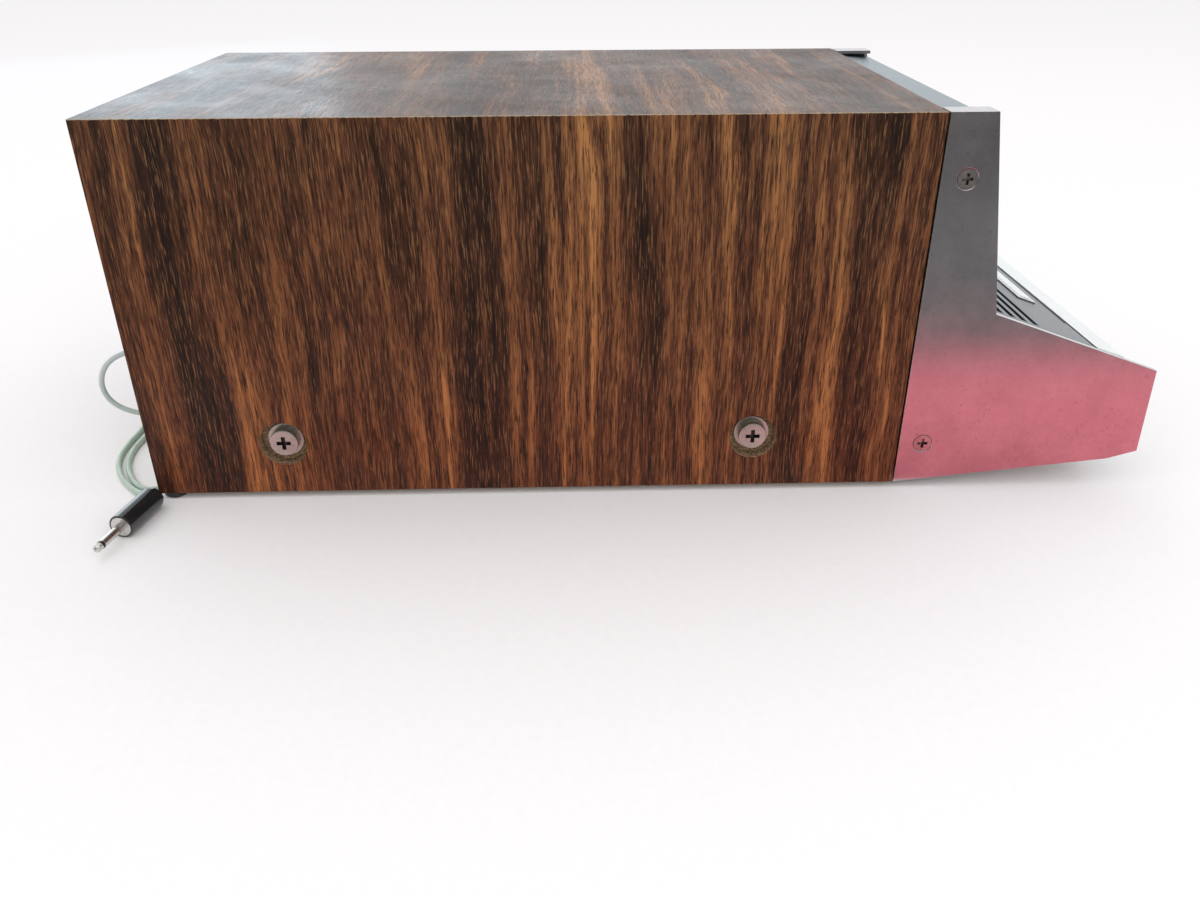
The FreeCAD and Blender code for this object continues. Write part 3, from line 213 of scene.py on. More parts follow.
# ---------------------------------------------------------------- materials
class Paint:
    """A material being mixed: each call adds a node and gives its output socket."""

    def __init__(self, name):
        self.material = bpy.data.materials.new(name)
        self.material.use_nodes = True
        self.tree = self.material.node_tree
        self.tree.nodes.clear()
        self.place = self.add("ShaderNodeTexCoord").outputs["Object"]

    def add(self, kind, inputs=(), **settings):
        made = self.tree.nodes.new(kind)
        for key, value in settings.items():
            setattr(made, key, value)
        for key, value in dict(inputs).items():
            if isinstance(value, bpy.types.NodeSocket):
                self.tree.links.new(value, made.inputs[key])
            else:
                made.inputs[key].default_value = value
        return made

    def split(self, vector):
        return self.add("ShaderNodeSeparateXYZ", {0: vector}).outputs

    def join(self, x, y, z):
        return self.add("ShaderNodeCombineXYZ", {0: x, 1: y, 2: z}).outputs[0]

    def math(self, operation, a, b=0.0, c=0.0):
        return self.add("ShaderNodeMath", {0: a, 1: b, 2: c}, operation=operation).outputs[0]

    def scaled(self, x, y, z):
        return self.add(
            "ShaderNodeMapping", {"Vector": self.place, "Scale": (x, y, z)}
        ).outputs[0]

    def noise(self, vector, scale, detail=3.0, roughness=0.55):
        settings = {"Vector": vector, "Scale": scale, "Detail": detail, "Roughness": roughness}
        return self.add("ShaderNodeTexNoise", settings).outputs[0]

    def cells(self, vector, scale):
        return self.add("ShaderNodeTexVoronoi", {"Vector": vector, "Scale": scale}).outputs[0]

    def ramp(self, value, *stops):
        made = self.add("ShaderNodeValToRGB", {0: value})
        elements = made.color_ramp.elements
        elements[0].position, elements[-1].position = stops[0][0], stops[-1][0]
        for position, _ in stops[1:-1]:
            elements.new(position)
        for element, (_, colour) in zip(elements, stops):
            shade = colour if isinstance(colour, tuple) else (colour,) * 3
            element.color = (*shade, 1.0)
        return made.outputs[0]

    def fit(self, value, low, high, to_low=0.0, to_high=1.0):
        settings = {0: value, 1: low, 2: high, 3: to_low, 4: to_high}
        return self.add("ShaderNodeMapRange", settings).outputs[0]

    def mix(self, factor, a, b, blend="MIX"):
        made = self.add("ShaderNodeMix", data_type="RGBA", blend_type=blend)
        for key, value in ((0, factor), (6, a), (7, b)):
            if isinstance(value, bpy.types.NodeSocket):
                self.tree.links.new(value, made.inputs[key])
            else:
                made.inputs[key].default_value = (*value, 1.0) if key else value
        return made.outputs[2]

    def bump(self, height, distance, strength=1.0):
        settings = {"Height": height, "Distance": distance, "Strength": strength}
        return self.add("ShaderNodeBump", settings).outputs[0]

    def done(self, **values):
        shader = self.add("ShaderNodeBsdfPrincipled")
        for key, value in values.items():
            name = key.replace("_", " ")
            if isinstance(value, bpy.types.NodeSocket):
                self.tree.links.new(value, shader.inputs[name])
            elif isinstance(value, tuple):
                size = len(shader.inputs[name].default_value)
                shader.inputs[name].default_value = (*value, 1.0)[:size]
            else:
                shader.inputs[name].default_value = value
        self.add("ShaderNodeOutputMaterial", {0: shader.outputs[0]})
        return self.material


COVER_HALF_WIDTH = 95 * MM
TOP_EDGE_SUM = 254.79 * MM  # across plus up, where the wear on the top's edges starts


def walnut_wrap():
    """Printed walnut laminate: the grain runs up the sides and on across the top."""
    paint = Paint("walnut_wrap")
    x, y, z = paint.split(paint.place)
    along = paint.math("ADD", paint.math("ADD", x, z), COVER_HALF_WIDTH)

    def grain(across, along_scale, across_scale, seed, detail=2.0):
        where = paint.join(
            paint.math("MULTIPLY", along, along_scale),
            paint.math("MULTIPLY", across, across_scale),
            seed,
        )
        return paint.noise(where, 1.0, detail)

    sway = grain(y, 8.0, 15.0, 2.0)
    ripple = grain(y, 55.0, 70.0, 5.0)
    fibre = paint.math("MULTIPLY_ADD", sway, 0.008, y)
    fibre = paint.math("MULTIPLY_ADD", ripple, 0.0009, fibre)
    offset = paint.math("ADD", paint.math("MULTIPLY_ADD", sway, 0.026, fibre), -0.144)
    depth = paint.math("MULTIPLY_ADD", along, 0.13, 0.004)
    square = paint.math("ADD", paint.math("POWER", offset, 2.0), paint.math("POWER", depth, 2.0))
    ring = paint.math("SQRT", square)
    broad = grain(ring, 2.0, 44.0, 3.1)
    middle = grain(ring, 6.0, 135.0, 8.4, 3.0)
    narrow = grain(fibre, 8.0, 360.0, 6.2, 4.0)
    fine = grain(fibre, 90.0, 1150.0, 1.7, 3.0)
    hair = grain(fibre, 130.0, 2300.0, 4.4)
    tone = paint.math("MULTIPLY_ADD", broad, 0.44, paint.math("MULTIPLY", middle, 0.26))
    tone = paint.math("ADD", tone, paint.math("MULTIPLY", narrow, 0.30))
    colour = paint.ramp(
        tone,
        (0.38, (0.022, 0.010, 0.007)),
        (0.44, (0.050, 0.019, 0.010)),
        (0.495, (0.100, 0.034, 0.016)),
        (0.545, (0.190, 0.070, 0.026)),
        (0.60, (0.37, 0.150, 0.050)),
    )
    dashes = paint.ramp(fine, (0.42, 0.0), (0.50, 1.0))
    darkened = paint.math("MULTIPLY_ADD", dashes, -0.56, 0.56)
    colour = paint.mix(darkened, colour, (0.014, 0.008, 0.006))
    pale = paint.ramp(hair, (0.56, 0.0), (0.66, 0.4))
    colour = paint.mix(pale, colour, (0.33, 0.15, 0.06))
    pores = paint.ramp(hair, (0.34, 1.0), (0.43, 0.0))
    colour = paint.mix(paint.math("MULTIPLY", pores, 0.8), colour, (0.010, 0.006, 0.005))
    # Painted reflection: the laminate is tinted redder towards the floor and cooler, bluer higher up and on the
    # top.
    height = paint.fit(z, 0.0, 0.15)
    painted_reflection_tint = paint.ramp(height, (0.0, (1.0, 0.80, 0.80)), (1.0, (0.93, 1.0, 1.0)))
    colour = paint.mix(1.0, colour, painted_reflection_tint, "MULTIPLY")
    edge = paint.math("ADD", paint.math("ABSOLUTE", x), z)
    chipping = paint.noise(paint.join(0.0, paint.math("MULTIPLY", y, 520.0), 0.0), 1.0, 3.0)
    chipped = paint.math("MULTIPLY_ADD", chipping, 0.0009, edge)
    worn = paint.math("GREATER_THAN", chipped, TOP_EDGE_SUM)
    colour = paint.mix(worn, colour, (0.34, 0.26, 0.17))
    smudge = paint.noise(paint.place, 28.0, 4.0, 0.6)
    relief = paint.math("SUBTRACT", paint.math("MULTIPLY", dashes, 0.6), pores)
    return paint.done(
        Base_Color=colour,
        Roughness=paint.fit(smudge, 0.3, 0.7, 0.25, 0.38),
        Normal=paint.bump(relief, 0.00009, 0.5),
        Specular_IOR_Level=0.14,
    )


def particleboard():
    """Raw chipboard as it shows in the bores and at the cut ends."""
    paint = Paint("particleboard")
    chips = paint.cells(paint.scaled(1.0, 1.0, 1.6), 900.0)
    grain = paint.noise(paint.place, 1500.0, 4.0)
    value = paint.math("MULTIPLY_ADD", chips, 0.5, paint.math("MULTIPLY", grain, 0.6))
    colour = paint.ramp(
        value,
        (0.25, (0.06, 0.032, 0.017)),
        (0.5, (0.19, 0.112, 0.058)),
        (0.75, (0.38, 0.26, 0.15)),
    )
    return paint.done(Base_Color=colour, Roughness=0.9, Normal=paint.bump(value, 0.0005, 0.8))


def metal(name, colour, rough, pits=2600.0, brush=None, smudges=0.35):
    """Sheet or turned metal: fine pits or brush lines, finger smudges and uneven sheen."""
    paint = Paint(name)
    lie = paint.scaled(*brush) if brush else paint.place
    texture = paint.noise(lie, pits, 3.0, 0.6)
    blotch = paint.noise(paint.place, 55.0, 5.0, 0.7)
    shade = paint.fit(blotch, 0.35, 0.68, 1.0 - smudges, 1.0)
    speck = paint.ramp(paint.noise(paint.place, 900.0, 2.0), (0.62, 1.0), (0.74, 0.72))
    greys = paint.add("ShaderNodeCombineColor", {0: shade, 1: shade, 2: shade}).outputs[0]
    tint = paint.mix(1.0, colour, greys, "MULTIPLY")
    tint = paint.mix(1.0, tint, speck, "MULTIPLY")
    uneven = paint.math("MULTIPLY_ADD", blotch, 0.6, paint.math("MULTIPLY", texture, 0.4))
    return paint.done(
        Base_Color=tint,
        Metallic=1.0,
        Roughness=paint.fit(uneven, 0.35, 0.65, rough[0], rough[1]),
        Normal=paint.bump(texture, 0.03 * MM, 0.6),
    )


def spun_metal():
    """Turned aluminium: fine rings round the piece's own axis."""
    paint = Paint("spun_face")
    x, y, z = paint.split(paint.place)
    square = paint.math("ADD", paint.math("POWER", x, 2.0), paint.math("POWER", y, 2.0))
    radius = paint.math("SQRT", square)
    rings = paint.noise(paint.join(paint.math("MULTIPLY", radius, 5200.0), 0.0, 0.0), 1.0, 2.0)
    shade = paint.ramp(rings, (0.3, (0.62, 0.62, 0.63)), (0.7, (0.82, 0.82, 0.83)))
    return paint.done(
        Base_Color=shade,
        Metallic=1.0,
        Roughness=paint.fit(rings, 0.3, 0.7, 0.18, 0.3),
        Normal=paint.bump(rings, 0.00004, 0.7),
    )


def coated(name, colour, rough, grain=1400.0, depth=0.00004, vary=0.18, **extra):
    """Moulded plastic, paint, rubber or paper: a mottled colour and a fine surface texture."""
    paint = Paint(name)
    mottle = paint.noise(paint.place, 60.0, 4.0, 0.6)
    texture = paint.noise(paint.place, grain, 3.0, 0.6)
    dark = tuple(part * (1 - vary) for part in colour)
    light = tuple(min(1.0, part * (1 + vary)) for part in colour)
    return paint.done(
        Base_Color=paint.ramp(mottle, (0.35, dark), (0.65, light)),
        Roughness=paint.fit(texture, 0.3, 0.7, rough[0], rough[1]),
        Normal=paint.bump(texture, depth, 0.7),
        **extra,
    )


def clear_window():
    """Clear plastic with a little dust on it."""
    paint = Paint("window_clear")
    dust = paint.noise(paint.place, 400.0, 4.0)
    return paint.done(
        Base_Color=(0.96, 0.98, 0.98),
        Roughness=paint.fit(dust, 0.4, 0.8, 0.03, 0.10),
        Transmission_Weight=1.0,
        IOR=1.49,
    )


def braided(name, colour):
    """Braided thread: slanting bands, with painted shade between the strands."""
    paint = Paint(name)
    slant = {"Vector": paint.scaled(1.0, 0.6, 1.4), "Scale": 900.0}
    weave = paint.add("ShaderNodeTexWave", slant).outputs[1]
    # Painted shade: the weave's valleys are darkened to 0.55 of the thread colour.
    shade = paint.ramp(weave, (0.2, tuple(part * 0.55 for part in colour)), (0.8, colour))
    return paint.done(Base_Color=shade, Roughness=0.85, Normal=paint.bump(weave, 0.0001))


def lead_vinyl():
    """Soft green-grey vinyl, with painted light turning the loop that rises off the floor greyer and bluer."""
    paint = Paint("lead_grey")
    height = paint.split(paint.place)[2]
    mottle = paint.noise(paint.place, 240.0, 4.0)
    # Painted light: green-grey on the floor, shifting to a greyer, bluer tint from 4 mm up to 30 mm above it.
    lifted_light_tint = paint.mix(paint.fit(height, 0.004, 0.03), (0.42, 0.52, 0.42), (0.50, 0.55, 0.55))
    colour = paint.mix(paint.fit(mottle, 0.35, 0.7, 0.0, 0.35), lifted_light_tint, (0.30, 0.34, 0.30))
    return paint.done(
        Base_Color=colour,
        Roughness=paint.fit(mottle, 0.3, 0.7, 0.3, 0.45),
        Normal=paint.bump(mottle, 0.00008, 0.5),
        Subsurface_Weight=0.08,
        Subsurface_Radius=(0.002, 0.002, 0.0015),
    )


PAINTS = {
    "walnut_wrap": walnut_wrap(),
    "satin_metal": metal(
        "satin_metal", (0.67, 0.64, 0.645), (0.15, 0.25), pits=3400.0, smudges=0.18
    ),
    "blue_grey_metal": metal("blue_grey_metal", (0.26, 0.34, 0.38), (0.22, 0.36)),
    "bright_trim": metal("bright_trim", (0.93, 0.96, 0.95), (0.22, 0.34), smudges=0.06),
    "screw_steel": metal("screw_steel", (0.66, 0.63, 0.58), (0.24, 0.4), smudges=0.3),
    "black_rubber": coated("black_rubber", (0.022, 0.022, 0.022), (0.6, 0.8)),
    "black_steel": coated("black_steel", (0.018, 0.018, 0.020), (0.35, 0.5)),
    "ledge_plastic": coated("ledge_plastic", (0.035, 0.046, 0.054), (0.16, 0.28), vary=0.25),
    "fascia_metal": metal(
        "fascia_metal", (0.055, 0.058, 0.066), (0.28, 0.4), brush=(0.02, 1.0, 1.0), smudges=0.2
    ),
    "window_clear": clear_window(),
    "dial_black": coated("dial_black", (0.012, 0.020, 0.024), (0.4, 0.55)),
    "pointer_red": coated("pointer_red", (0.72, 0.05, 0.02), (0.2, 0.3)),
    "plated_steel": metal("plated_steel", (0.62, 0.61, 0.57), (0.26, 0.38), smudges=0.12),
    "cord_thread": braided("cord_thread", (0.62, 0.55, 0.38)),
    "nylon": coated("nylon", (0.72, 0.70, 0.62), (0.4, 0.55), vary=0.08),
    "rotor_vanes": metal("rotor_vanes", (0.76, 0.76, 0.77), (0.3, 0.45)),
    "knob_black": coated("knob_black", (0.022, 0.022, 0.024), (0.3, 0.42)),
    "control_body": coated("control_body", (0.20, 0.13, 0.06), (0.4, 0.6)),
    "key_cap": coated("key_cap", (0.70, 0.70, 0.67), (0.25, 0.38), vary=0.05),
    "speaker_paper": coated(
        "speaker_paper", (0.03, 0.03, 0.028), (0.8, 0.95), grain=3000.0, depth=0.0001
    ),
    "ferrite": coated("ferrite", (0.05, 0.05, 0.052), (0.5, 0.7)),
    "board_green": coated("board_green", (0.24, 0.15, 0.06), (0.35, 0.5)),
    "can_metal": metal("can_metal", (0.70, 0.70, 0.70), (0.25, 0.4)),
    "lamination_steel": metal(
        "lamination_steel", (0.16, 0.16, 0.17), (0.4, 0.6), brush=(0.05, 1.0, 0.05)
    ),
    "winding_copper": metal(
        "winding_copper", (0.62, 0.28, 0.12), (0.25, 0.4), brush=(0.05, 0.05, 1.0)
    ),
    "terminal_mix": coated("terminal_mix", (0.020, 0.020, 0.020), (0.3, 0.45)),
    "lead_grey": lead_vinyl(),
    "plug_black": coated(
        "plug_black",
        (0.010, 0.013, 0.014),
        (0.10, 0.2),
        grain=500.0,
        depth=0.00002,
        Coat_Weight=0.4,
    ),
    "plug_nickel": metal("plug_nickel", (0.74, 0.72, 0.68), (0.18, 0.34), smudges=0.3),
}
CHIPBOARD = particleboard()
# Near-black for the plug band and the coil tie, also used as painted shade inside the screws' driver recesses.
BLACK_AND_RECESS_SHADE = coated("black_and_recess_shade", (0.012, 0.012, 0.013), (0.3, 0.4))
SPUN = spun_metal()
CREAM = coated("dial_cream", (0.80, 0.74, 0.55), (0.5, 0.6), vary=0.04)

for name, node in NODES.items():
    node.data.materials.clear()
    node.data.materials.append(PAINTS[SLOTS[name]])
lead.data.materials.append(PAINTS["lead_grey"])


# ---------------------------------------------------------------- mesh helpers
SHARP_ANGLE = math.radians(38)
FLAT_ANGLE = math.radians(0.6)
WELD_DISTANCE = 0.002 * MM
BEVEL_SEGMENTS = 2


def finished(name, mesh, node, materials, bevel=0.0, replace=True, place=None):
    """Links a mesh as a piece on its node's body, with rounded edges and clean shading."""
    for material in materials:
        mesh.materials.append(material)
    mesh.polygons.foreach_set("use_smooth", [True] * len(mesh.polygons))
    piece = bpy.data.objects.new(name, mesh)
    if place is not None:
        piece.matrix_world = place
    scene.collection.objects.link(piece)
    if bevel:
        rounding = piece.modifiers.new("rounding", "BEVEL")
        rounding.width = bevel
        rounding.segments = BEVEL_SEGMENTS
        rounding.limit_method = "ANGLE"
        rounding.angle_limit = SHARP_ANGLE
        rounding.use_clamp_overlap = True
        shading = piece.modifiers.new("shading", "WEIGHTED_NORMAL")
        shading.keep_sharp = True
    else:
        mesh.set_sharp_from_angle(angle=SHARP_ANGLE)
    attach(piece, BODIES[node])
    if replace:
        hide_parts(node)
    return piece


def softened(node, bevel, choose=None, materials=None):
    """The node's own shape, its flat faces made whole again and its edges rounded."""
    work = bmesh.new()
    work.from_mesh(NODES[node].data)
    bmesh.ops.remove_doubles(work, verts=work.verts, dist=WELD_DISTANCE)
    bmesh.ops.dissolve_limit(work, angle_limit=FLAT_ANGLE, verts=work.verts, edges=work.edges)
    if choose:
        for face in work.faces:
            face.material_index = choose(face)
    mesh = bpy.data.meshes.new(f"{node}_shape")
    work.to_mesh(mesh)
    work.free()
    paints = materials or [PAINTS[SLOTS[node]]]
    return finished(f"{node}_piece", mesh, node, paints, bevel)


SKIN = 0.1 * MM
HEAD_RADIUS = 6.0 * MM
RECESS_REACH = 3.0 * MM


def cover_face(face):
    """Laminate on the outside of the boards, chipboard in the bores and on the cut ends."""
    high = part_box("wood_cover")[1]
    middle = face.calc_center_median()
    outside = abs(middle.x) > high.x - SKIN or middle.z > high.z - SKIN
    return 0 if outside else 1


def cheek_recess_face(face):
    """Painted shade: near-black inside the driver recess of a cheek screw, steel elsewhere."""
    middle = face.calc_center_median()
    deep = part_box("cheek_screws")[1].x - abs(middle.x)
    small = face.calc_area() < 4 * MM * MM
    wall = abs(face.normal.x) < 0.5
    inside = 0.1 * MM < deep < 1.7 * MM and (wall or deep > 1.0 * MM)
    return 1 if small and inside else 0


def near_axis(spot):
    """Whether a point is within a driver recess's reach of a cover screw's axis."""
    low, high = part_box("cover_screws")
    rise = spot.z - (low.z + high.z) / 2
    ends = (low.y + HEAD_RADIUS, high.y - HEAD_RADIUS)
    return min(math.hypot(spot.y - end, rise) for end in ends) < RECESS_REACH


def recess_face(face):
    """Painted shade: near-black inside the driver recess of a cover screw, steel elsewhere."""
    middle = face.calc_center_median()
    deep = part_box("cover_screws")[1].x - abs(middle.x)
    small = face.calc_area() < 20 * MM * MM
    return 1 if small and 0.05 * MM < deep < 2.3 * MM and near_axis(middle) else 0


softened("wood_cover", 0.35 * MM, cover_face, [PAINTS["walnut_wrap"], CHIPBOARD])
# The cover and cheek screws get painted shade: their driver recesses are coloured near-black.
softened("cover_screws", 0.15 * MM, recess_face, [PAINTS["screw_steel"], BLACK_AND_RECESS_SHADE])
softened("cheek_screws", 0.08 * MM, cheek_recess_face, [PAINTS["screw_steel"], BLACK_AND_RECESS_SHADE])
for node, width in (
    ("left_cheek", 0.4),
    ("right_cheek", 0.4),
    ("top_trim", 0.3),
    ("ledge_grille", 0.25),
    ("ledge_trim", 0.4),
    ("nameplate", 0.12),
    ("nose_panel", 0.3),
    ("fascia_panel", 0.3),
    ("rear_panel", 0.2),
    ("cover_washers", 0.2),
    ("rear_panel_screws", 0.15),
    ("rear_terminals", 0.3),
    ("power_button", 0.6),
    ("am_button", 0.6),
    ("fm_button", 0.6),
    ("tape_button", 0.6),
    ("headphone_jack", 0.2),
    ("rubber_feet", 0.3),
    ("lead_gland", 0.3),
    ("plug_handle", 0.3),
):
    softened(node, width * MM)


# ---------------------------------------------------------------- knobs
KNOB_ROW = 20 * MM
VOLUME_ACROSS = -46 * MM
TONE_ACROSS = -8 * MM
TUNING_ACROSS = 58 * MM
KNOB_LENGTH = 14 * MM
FACE_HEIGHT = KNOB_LENGTH - 0.05 * MM
FACE_SINK = 0.3 * MM
FACE_RINGS = 24
STEPS_PER_FLUTE = 6
FLUTE_DEPTH = 0.45 * MM
WELL_RADIUS = 3.4 * MM
WELL_DEPTH = 1.3 * MM
LINE_WIDTH = 0.9 * MM
LINE_THICKNESS = 0.3 * MM


def fascia_frame(across, up, out=0.0):
    """A place on the fascia: local X runs across it, Y up it and Z out of it."""
    axis = Vector(JOINTS["volume_turn"]["axis"]).normalized()
    facing = -axis if axis.y > 0 else axis
    right = Vector((1, 0, 0))
    rise = facing.cross(right)
    foot = Vector(JOINTS["volume_turn"]["pos_m"]) - right * VOLUME_ACROSS - rise * KNOB_ROW
    turn = Matrix((right, rise, facing)).transposed().to_4x4()
    return Matrix.Translation(foot + right * across + rise * up + facing * out) @ turn


def knob(node, across, radius, flutes, well=None):
    """A fluted skirt round a spun face, with a finger well or else a pointer line."""
    around = flutes * STEPS_PER_FLUTE
    lip = radius - 3.4 * MM
    skirt = [
        (radius - 0.5 * MM, 0.0, 0.0),
        (radius - 0.05 * MM, 0.3 * MM, 0.0),
        (radius - 0.05 * MM, 1.7 * MM, 0.0),
        (radius - 0.5 * MM, 2.1 * MM, 0.0),
        (radius - 1.75 * MM, 3.0 * MM, 0.2),
        (radius - 1.8 * MM, 3.6 * MM, 1.0),
        (radius - 2.3 * MM, KNOB_LENGTH - 1.8 * MM, 1.0),
        (radius - 2.6 * MM, KNOB_LENGTH - 1.0 * MM, 0.5),
        (radius - 3.0 * MM, KNOB_LENGTH - 0.2 * MM, 0.0),
        (lip, FACE_HEIGHT, 0.0),
    ]
    discs = [
        (lip * (1 - step / FACE_RINGS), FACE_HEIGHT - (FACE_SINK if step else 0.0), 0.0)
        for step in range(FACE_RINGS)
    ]
    work = bmesh.new()
    rings = []
    for reach, height, cut in skirt + discs:
        ring = []
        for index in range(around):
            angle = 2 * math.pi * index / around
            own = reach - cut * FLUTE_DEPTH * (0.5 + 0.5 * math.cos(flutes * angle))
            spot = Vector((own * math.cos(angle), own * math.sin(angle), height))
            if well:
                near = 1 - math.hypot(spot.x - well, spot.y) / WELL_RADIUS
                if near > 0 and reach < lip:
                    spot.z -= WELL_DEPTH * near * near * (3 - 2 * near)
            ring.append(work.verts.new(spot))
        rings.append(ring)
    for level, (lower, upper) in enumerate(zip(rings, rings[1:])):
        for index in range(around):
            after = (index + 1) % around
            face = work.faces.new((lower[index], lower[after], upper[after], upper[index]))
            face.material_index = 1 if level >= len(skirt) else 0
    work.faces.new(tuple(reversed(rings[0])))
    work.faces.new(tuple(rings[-1])).material_index = 1
    if well is None:
        line = bmesh.ops.create_cube(work, size=1.0)["verts"]
        long = lip - 3.0 * MM
        size = Matrix.Diagonal((LINE_WIDTH, long, LINE_THICKNESS, 1.0))
        spot = Matrix.Translation((0, lip - 0.6 * MM - long / 2, KNOB_LENGTH - 0.25 * MM))
        bmesh.ops.transform(work, matrix=spot @ size, verts=line)
        for face in {face for vert in line for face in vert.link_faces}:
            face.material_index = 2
    mesh = bpy.data.meshes.new(f"{node}_shape")
    work.to_mesh(mesh)
    work.free()
    paints = [PAINTS["knob_black"], SPUN, CREAM]
    finished(f"{node}_piece", mesh, node, paints, place=fascia_frame(across, KNOB_ROW))


knob("volume_knob", VOLUME_ACROSS, 13 * MM, 24)
knob("tone_knob", TONE_ACROSS, 13 * MM, 24)
knob("tuning_knob", TUNING_ACROSS, 17 * MM, 32, well=9.6 * MM)


# ---------------------------------------------------------------- dial scale
DIAL = fascia_frame(0.0, 59 * MM, -9.0 * MM)
TRAVEL = 62 * MM
LINE_UP = 2.2 * MM
NUMBER_UP = 7.6 * MM
NUMBER_SIZE = 4.2 * MM
LETTER_THICKNESS = 0.03 * MM
MARK_THICKNESS = 0.06 * MM


def dial_mark(name, across, up, wide, tall):
    """A printed bar on the dial plate, at a place across and up the fascia."""
    work = bmesh.new()
    bmesh.ops.create_cube(work, size=1.0)
    size = Matrix.Diagonal((wide, tall, MARK_THICKNESS, 1.0))
    bmesh.ops.transform(work, matrix=size, verts=work.verts)
    mesh = bpy.data.meshes.new(name)
    work.to_mesh(mesh)
    work.free()
    place = DIAL @ Matrix.Translation((across, up, MARK_THICKNESS / 2))
    return finished(name, mesh, "dial_plate", [CREAM], replace=False, place=place)


def dial_number(name, words, across, up):
    """A printed number on the dial plate, centred at a place across and up the fascia."""
    letters = bpy.data.curves.new(name, "FONT")
    letters.body = words
    letters.size = NUMBER_SIZE
    letters.align_x = "CENTER"
    letters.align_y = "CENTER"
    letters.extrude = LETTER_THICKNESS
    letters.materials.append(CREAM)
    piece = bpy.data.objects.new(name, letters)
    piece.matrix_world = DIAL @ Matrix.Translation((across, up, LETTER_THICKNESS))
    scene.collection.objects.link(piece)
    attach(piece, BODIES["dial_plate"])


dial_mark("fm_line", 0.0, LINE_UP, TRAVEL * 2, 0.35 * MM)
dial_mark("am_line", 0.0, -LINE_UP, TRAVEL * 2, 0.35 * MM)
for index in range(41):
    across = TRAVEL * (index / 20 - 1)
    tall = 2.4 * MM if index % 4 == 0 else 1.3 * MM
    dial_mark(f"fm_tick_{index}", across, LINE_UP + tall / 2, 0.3 * MM, tall)
    dial_mark(f"am_tick_{index}", across, -LINE_UP - tall / 2, 0.3 * MM, tall)
for index, words in enumerate(("88", "92", "96", "100", "104", "108")):
    dial_number(f"fm_number_{index}", words, TRAVEL * (index / 2.5 - 1), NUMBER_UP)
for index, words in enumerate(("54", "60", "80", "100", "130", "160")):
    dial_number(f"am_number_{index}", words, TRAVEL * (index / 2.5 - 1), -NUMBER_UP)


# ---------------------------------------------------------------- lead details
BAND_SIDES = 32
BAND_BEVEL = 0.1 * MM


def ring_piece(name, node, paint, outline, place):
    """A ring: a closed outline of (radius, height) points turned about local Z."""
    work = bmesh.new()
    rings = []
    for index in range(BAND_SIDES):
        angle = 2 * math.pi * index / BAND_SIDES
        rings.append(
            [
                work.verts.new((radius * math.cos(angle), radius * math.sin(angle), height))
                for radius, height in outline
            ]
        )
    count = len(outline)
    for index in range(BAND_SIDES):
        here, after = rings[index], rings[(index + 1) % BAND_SIDES]
        for side in range(count):
            other = (side + 1) % count
            work.faces.new((here[side], after[side], after[other], here[other]))
    bmesh.ops.recalc_face_normals(work, faces=work.faces)
    mesh = bpy.data.meshes.new(name)
    work.to_mesh(mesh)
    work.free()
    return finished(name, mesh, node, [paint], BAND_BEVEL, replace=False, place=place)


PLUG_REAR = Vector((-0.0999, 0.2126, 0.0051))
PLUG_HEADING = math.radians(169.0)
PLUG_LENGTH = 42.6 * MM
BAND_INSIDE = 1.2 * MM
BAND_OUTSIDE = 1.72 * MM
BAND_START = PLUG_LENGTH - 4.55 * MM
BAND_END = PLUG_LENGTH - 3.45 * MM
plug_frame = (
    Matrix.Translation(PLUG_REAR)
    @ Matrix.Rotation(PLUG_HEADING, 4, "Z")
    @ Matrix.Rotation(math.radians(90), 4, "Y")
)
plug_band = ring_piece(
    "plug_band",
    "plug_shaft",
    BLACK_AND_RECESS_SHADE,
    [
        (BAND_INSIDE, BAND_START),
        (BAND_OUTSIDE, BAND_START),
        (BAND_OUTSIDE, BAND_END),
        (BAND_INSIDE, BAND_END),
    ],
    plug_frame,
)


TIE_HALF_WIDTH = 1.6 * MM
TIE_THICKNESS = 0.6 * MM
TIE_BEVEL = 0.15 * MM


def coil_tie():
    """A black strap round the put-away turns, where each turn steps over to the next."""
    low, high = 0.05 * MM, 7.9 * MM
    inner, outer = 10.0 * MM, 18.1 * MM
    corner = 1.2 * MM
    middle = Vector(((inner + outer) / 2, (low + high) / 2))
    half = Vector(((outer - inner) / 2, (high - low) / 2))
    work = bmesh.new()
    edges = []
    for turn in range(4):
        centre = (
            middle.x + (half.x - corner) * (1 if turn in (0, 3) else -1),
            middle.y + (half.y - corner) * (1 if turn in (0, 1) else -1),
        )
        for step in range(5):
            bend = math.radians(90 * turn + 22.5 * step)
            out = Vector((math.cos(bend), math.sin(bend)))
            ring = []
            for thick, side in ((0.0, -1), (0.0, 1), (TIE_THICKNESS, 1), (TIE_THICKNESS, -1)):
                reach = centre[0] + out.x * (corner - thick)
                rise = centre[1] + out.y * (corner - thick)
                ring.append(work.verts.new((reach, side * TIE_HALF_WIDTH, rise)))
            edges.append(ring)
    for index, here in enumerate(edges):
        after = edges[(index + 1) % len(edges)]
        for side in range(4):
            other = (side + 1) % 4
            work.faces.new((here[side], here[other], after[other], after[side]))
    bmesh.ops.recalc_face_normals(work, faces=work.faces)
    mesh = bpy.data.meshes.new("coil_tie")
    work.to_mesh(mesh)
    work.free()
    turn = Matrix.Rotation(math.radians(COIL_SWITCH), 4, "Z")
    place = Matrix.Translation((*COIL_MIDDLE, 0)) @ turn
    return finished(
        "coil_tie", mesh, "lead_coil", [BLACK_AND_RECESS_SHADE], TIE_BEVEL, replace=False, place=place
    )


tie = coil_tie()


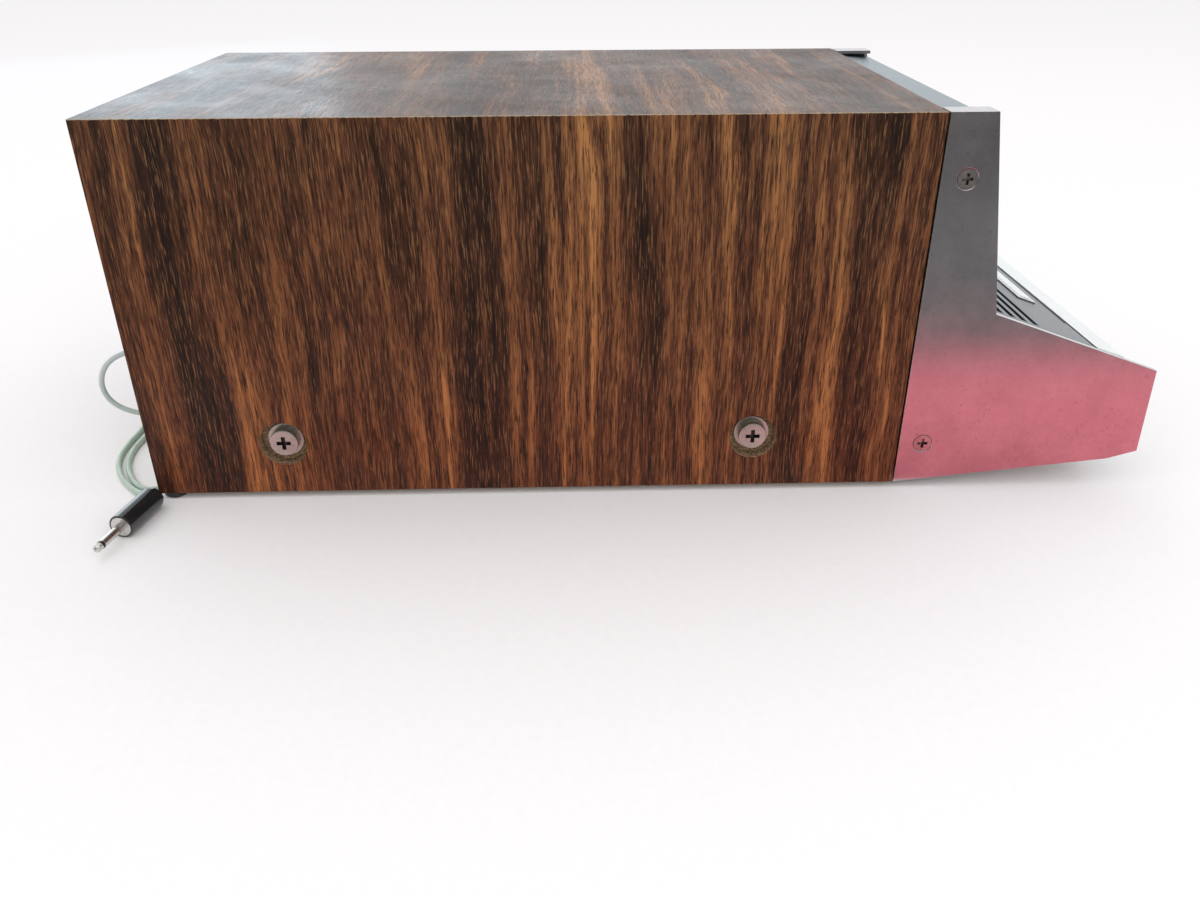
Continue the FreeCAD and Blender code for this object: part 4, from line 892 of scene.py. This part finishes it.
# ---------------------------------------------------------------- floor and light
FLOOR_REACH = 5.0
CARD_FRONT = -0.9
CARD_BACK = 0.7
CARD_LIFT = 0.001
FLAG_FOOT = (-0.24, 0.0)
FLAG_JOIN = (-0.281, 0.08)
FLAG_TOP = (-0.60, 0.7)


def area_light(name, place, target, size, power, colour=(1.0, 1.0, 1.0)):
    """A rectangular lamp at a place, turned towards its target."""
    lamp = bpy.data.lights.new(name, "AREA")
    lamp.shape = "RECTANGLE"
    lamp.size, lamp.size_y = size
    lamp.energy = power
    lamp.color = colour
    holder = bpy.data.objects.new(name, lamp)
    holder.location = place
    look = Vector(target) - Vector(place)
    holder.rotation_euler = look.to_track_quat("-Z", "Y").to_euler()
    scene.collection.objects.link(holder)
    return holder


def reflector(name, corners, shade):
    """A card that only shows in reflections."""
    mesh = bpy.data.meshes.new(name)
    mesh.from_pydata(corners, [], [(0, 1, 2, 3)])
    card = bpy.data.objects.new(name, mesh)
    scene.collection.objects.link(card)
    cloth = Paint(f"{name}_cloth")
    nap = cloth.noise(cloth.place, 200.0, 2.0)
    darker = tuple(part * 0.85 for part in shade)
    tint = cloth.ramp(nap, (0.3, darker), (0.7, shade))
    mesh.materials.append(cloth.done(Base_Color=tint, Roughness=0.9))
    card.visible_camera = False
    card.visible_diffuse = False
    card.visible_shadow = False


def upright_card(low_edge, high_edge):
    """Corners of a card that leans between two (across, up) edges beside the set."""
    return [
        (low_edge[0], CARD_FRONT, low_edge[1]),
        (low_edge[0], CARD_BACK, low_edge[1]),
        (high_edge[0], CARD_BACK, high_edge[1]),
        (high_edge[0], CARD_FRONT, high_edge[1]),
    ]


def level_card(left, right, front, back, lift):
    """Corners of a card that lies level."""
    return [(left, front, lift), (right, front, lift), (right, back, lift), (left, back, lift)]


def studio():
    """A pale paper floor, soft light, and the cards that the left side mirrors."""
    floor = bpy.data.meshes.new("floor")
    corners = level_card(-FLOOR_REACH, FLOOR_REACH, -FLOOR_REACH, FLOOR_REACH, 0)
    floor.from_pydata(corners, [], [(0, 1, 2, 3)])
    ground = bpy.data.objects.new("floor", floor)
    scene.collection.objects.link(ground)
    paint = Paint("floor_paper")
    fibre = paint.noise(paint.place, 300.0, 3.0)
    tint = paint.ramp(fibre, (0.3, (0.92, 0.89, 0.89)), (0.7, (0.94, 0.91, 0.91)))
    floor.materials.append(paint.done(Base_Color=tint, Roughness=0.95, Specular_IOR_Level=0.1))

    reflector("flag", upright_card(FLAG_JOIN, FLAG_TOP), (0.155, 0.155, 0.155))
    reflector("flag_foot", upright_card(FLAG_FOOT, FLAG_JOIN), (0.245, 0.255, 0.255))
    rosy = level_card(-0.24, -0.10, CARD_FRONT, -0.08, CARD_LIFT)
    reflector("rosy_card", rosy, (0.98, 0.26, 0.32))
    blush = level_card(-0.20, -0.12, -0.08, 0.19, CARD_LIFT)
    reflector("blush_card", blush, (0.85, 0.52, 0.52))

    world = bpy.data.worlds.new("studio")
    scene.world = world
    world.use_nodes = True
    backdrop = world.node_tree.nodes["Background"]
    backdrop.inputs["Color"].default_value = (0.97, 0.985, 1.0, 1.0)
    backdrop.inputs["Strength"].default_value = 1.0

    area_light("overhead", (0.0, 0.0, 1.7), (0.0, 0.0, 0.0), (2.6, 2.6), 5.0)
    area_light(
        "side_fill", (-1.3, -0.35, 0.75), (0.0, 0.0, 0.08), (1.3, 0.9), 4.0, (1.0, 0.97, 0.94)
    )
    sky = area_light(
        "rear_sky", (1.3, 1.05, 0.42), (0.0, 0.12, 0.12), (1.3, 0.8), 6.0, (0.70, 0.88, 1.0)
    )
    sky.visible_diffuse = False
    scene.view_settings.view_transform = "Standard"


studio()

bpy.context.view_layer.update()
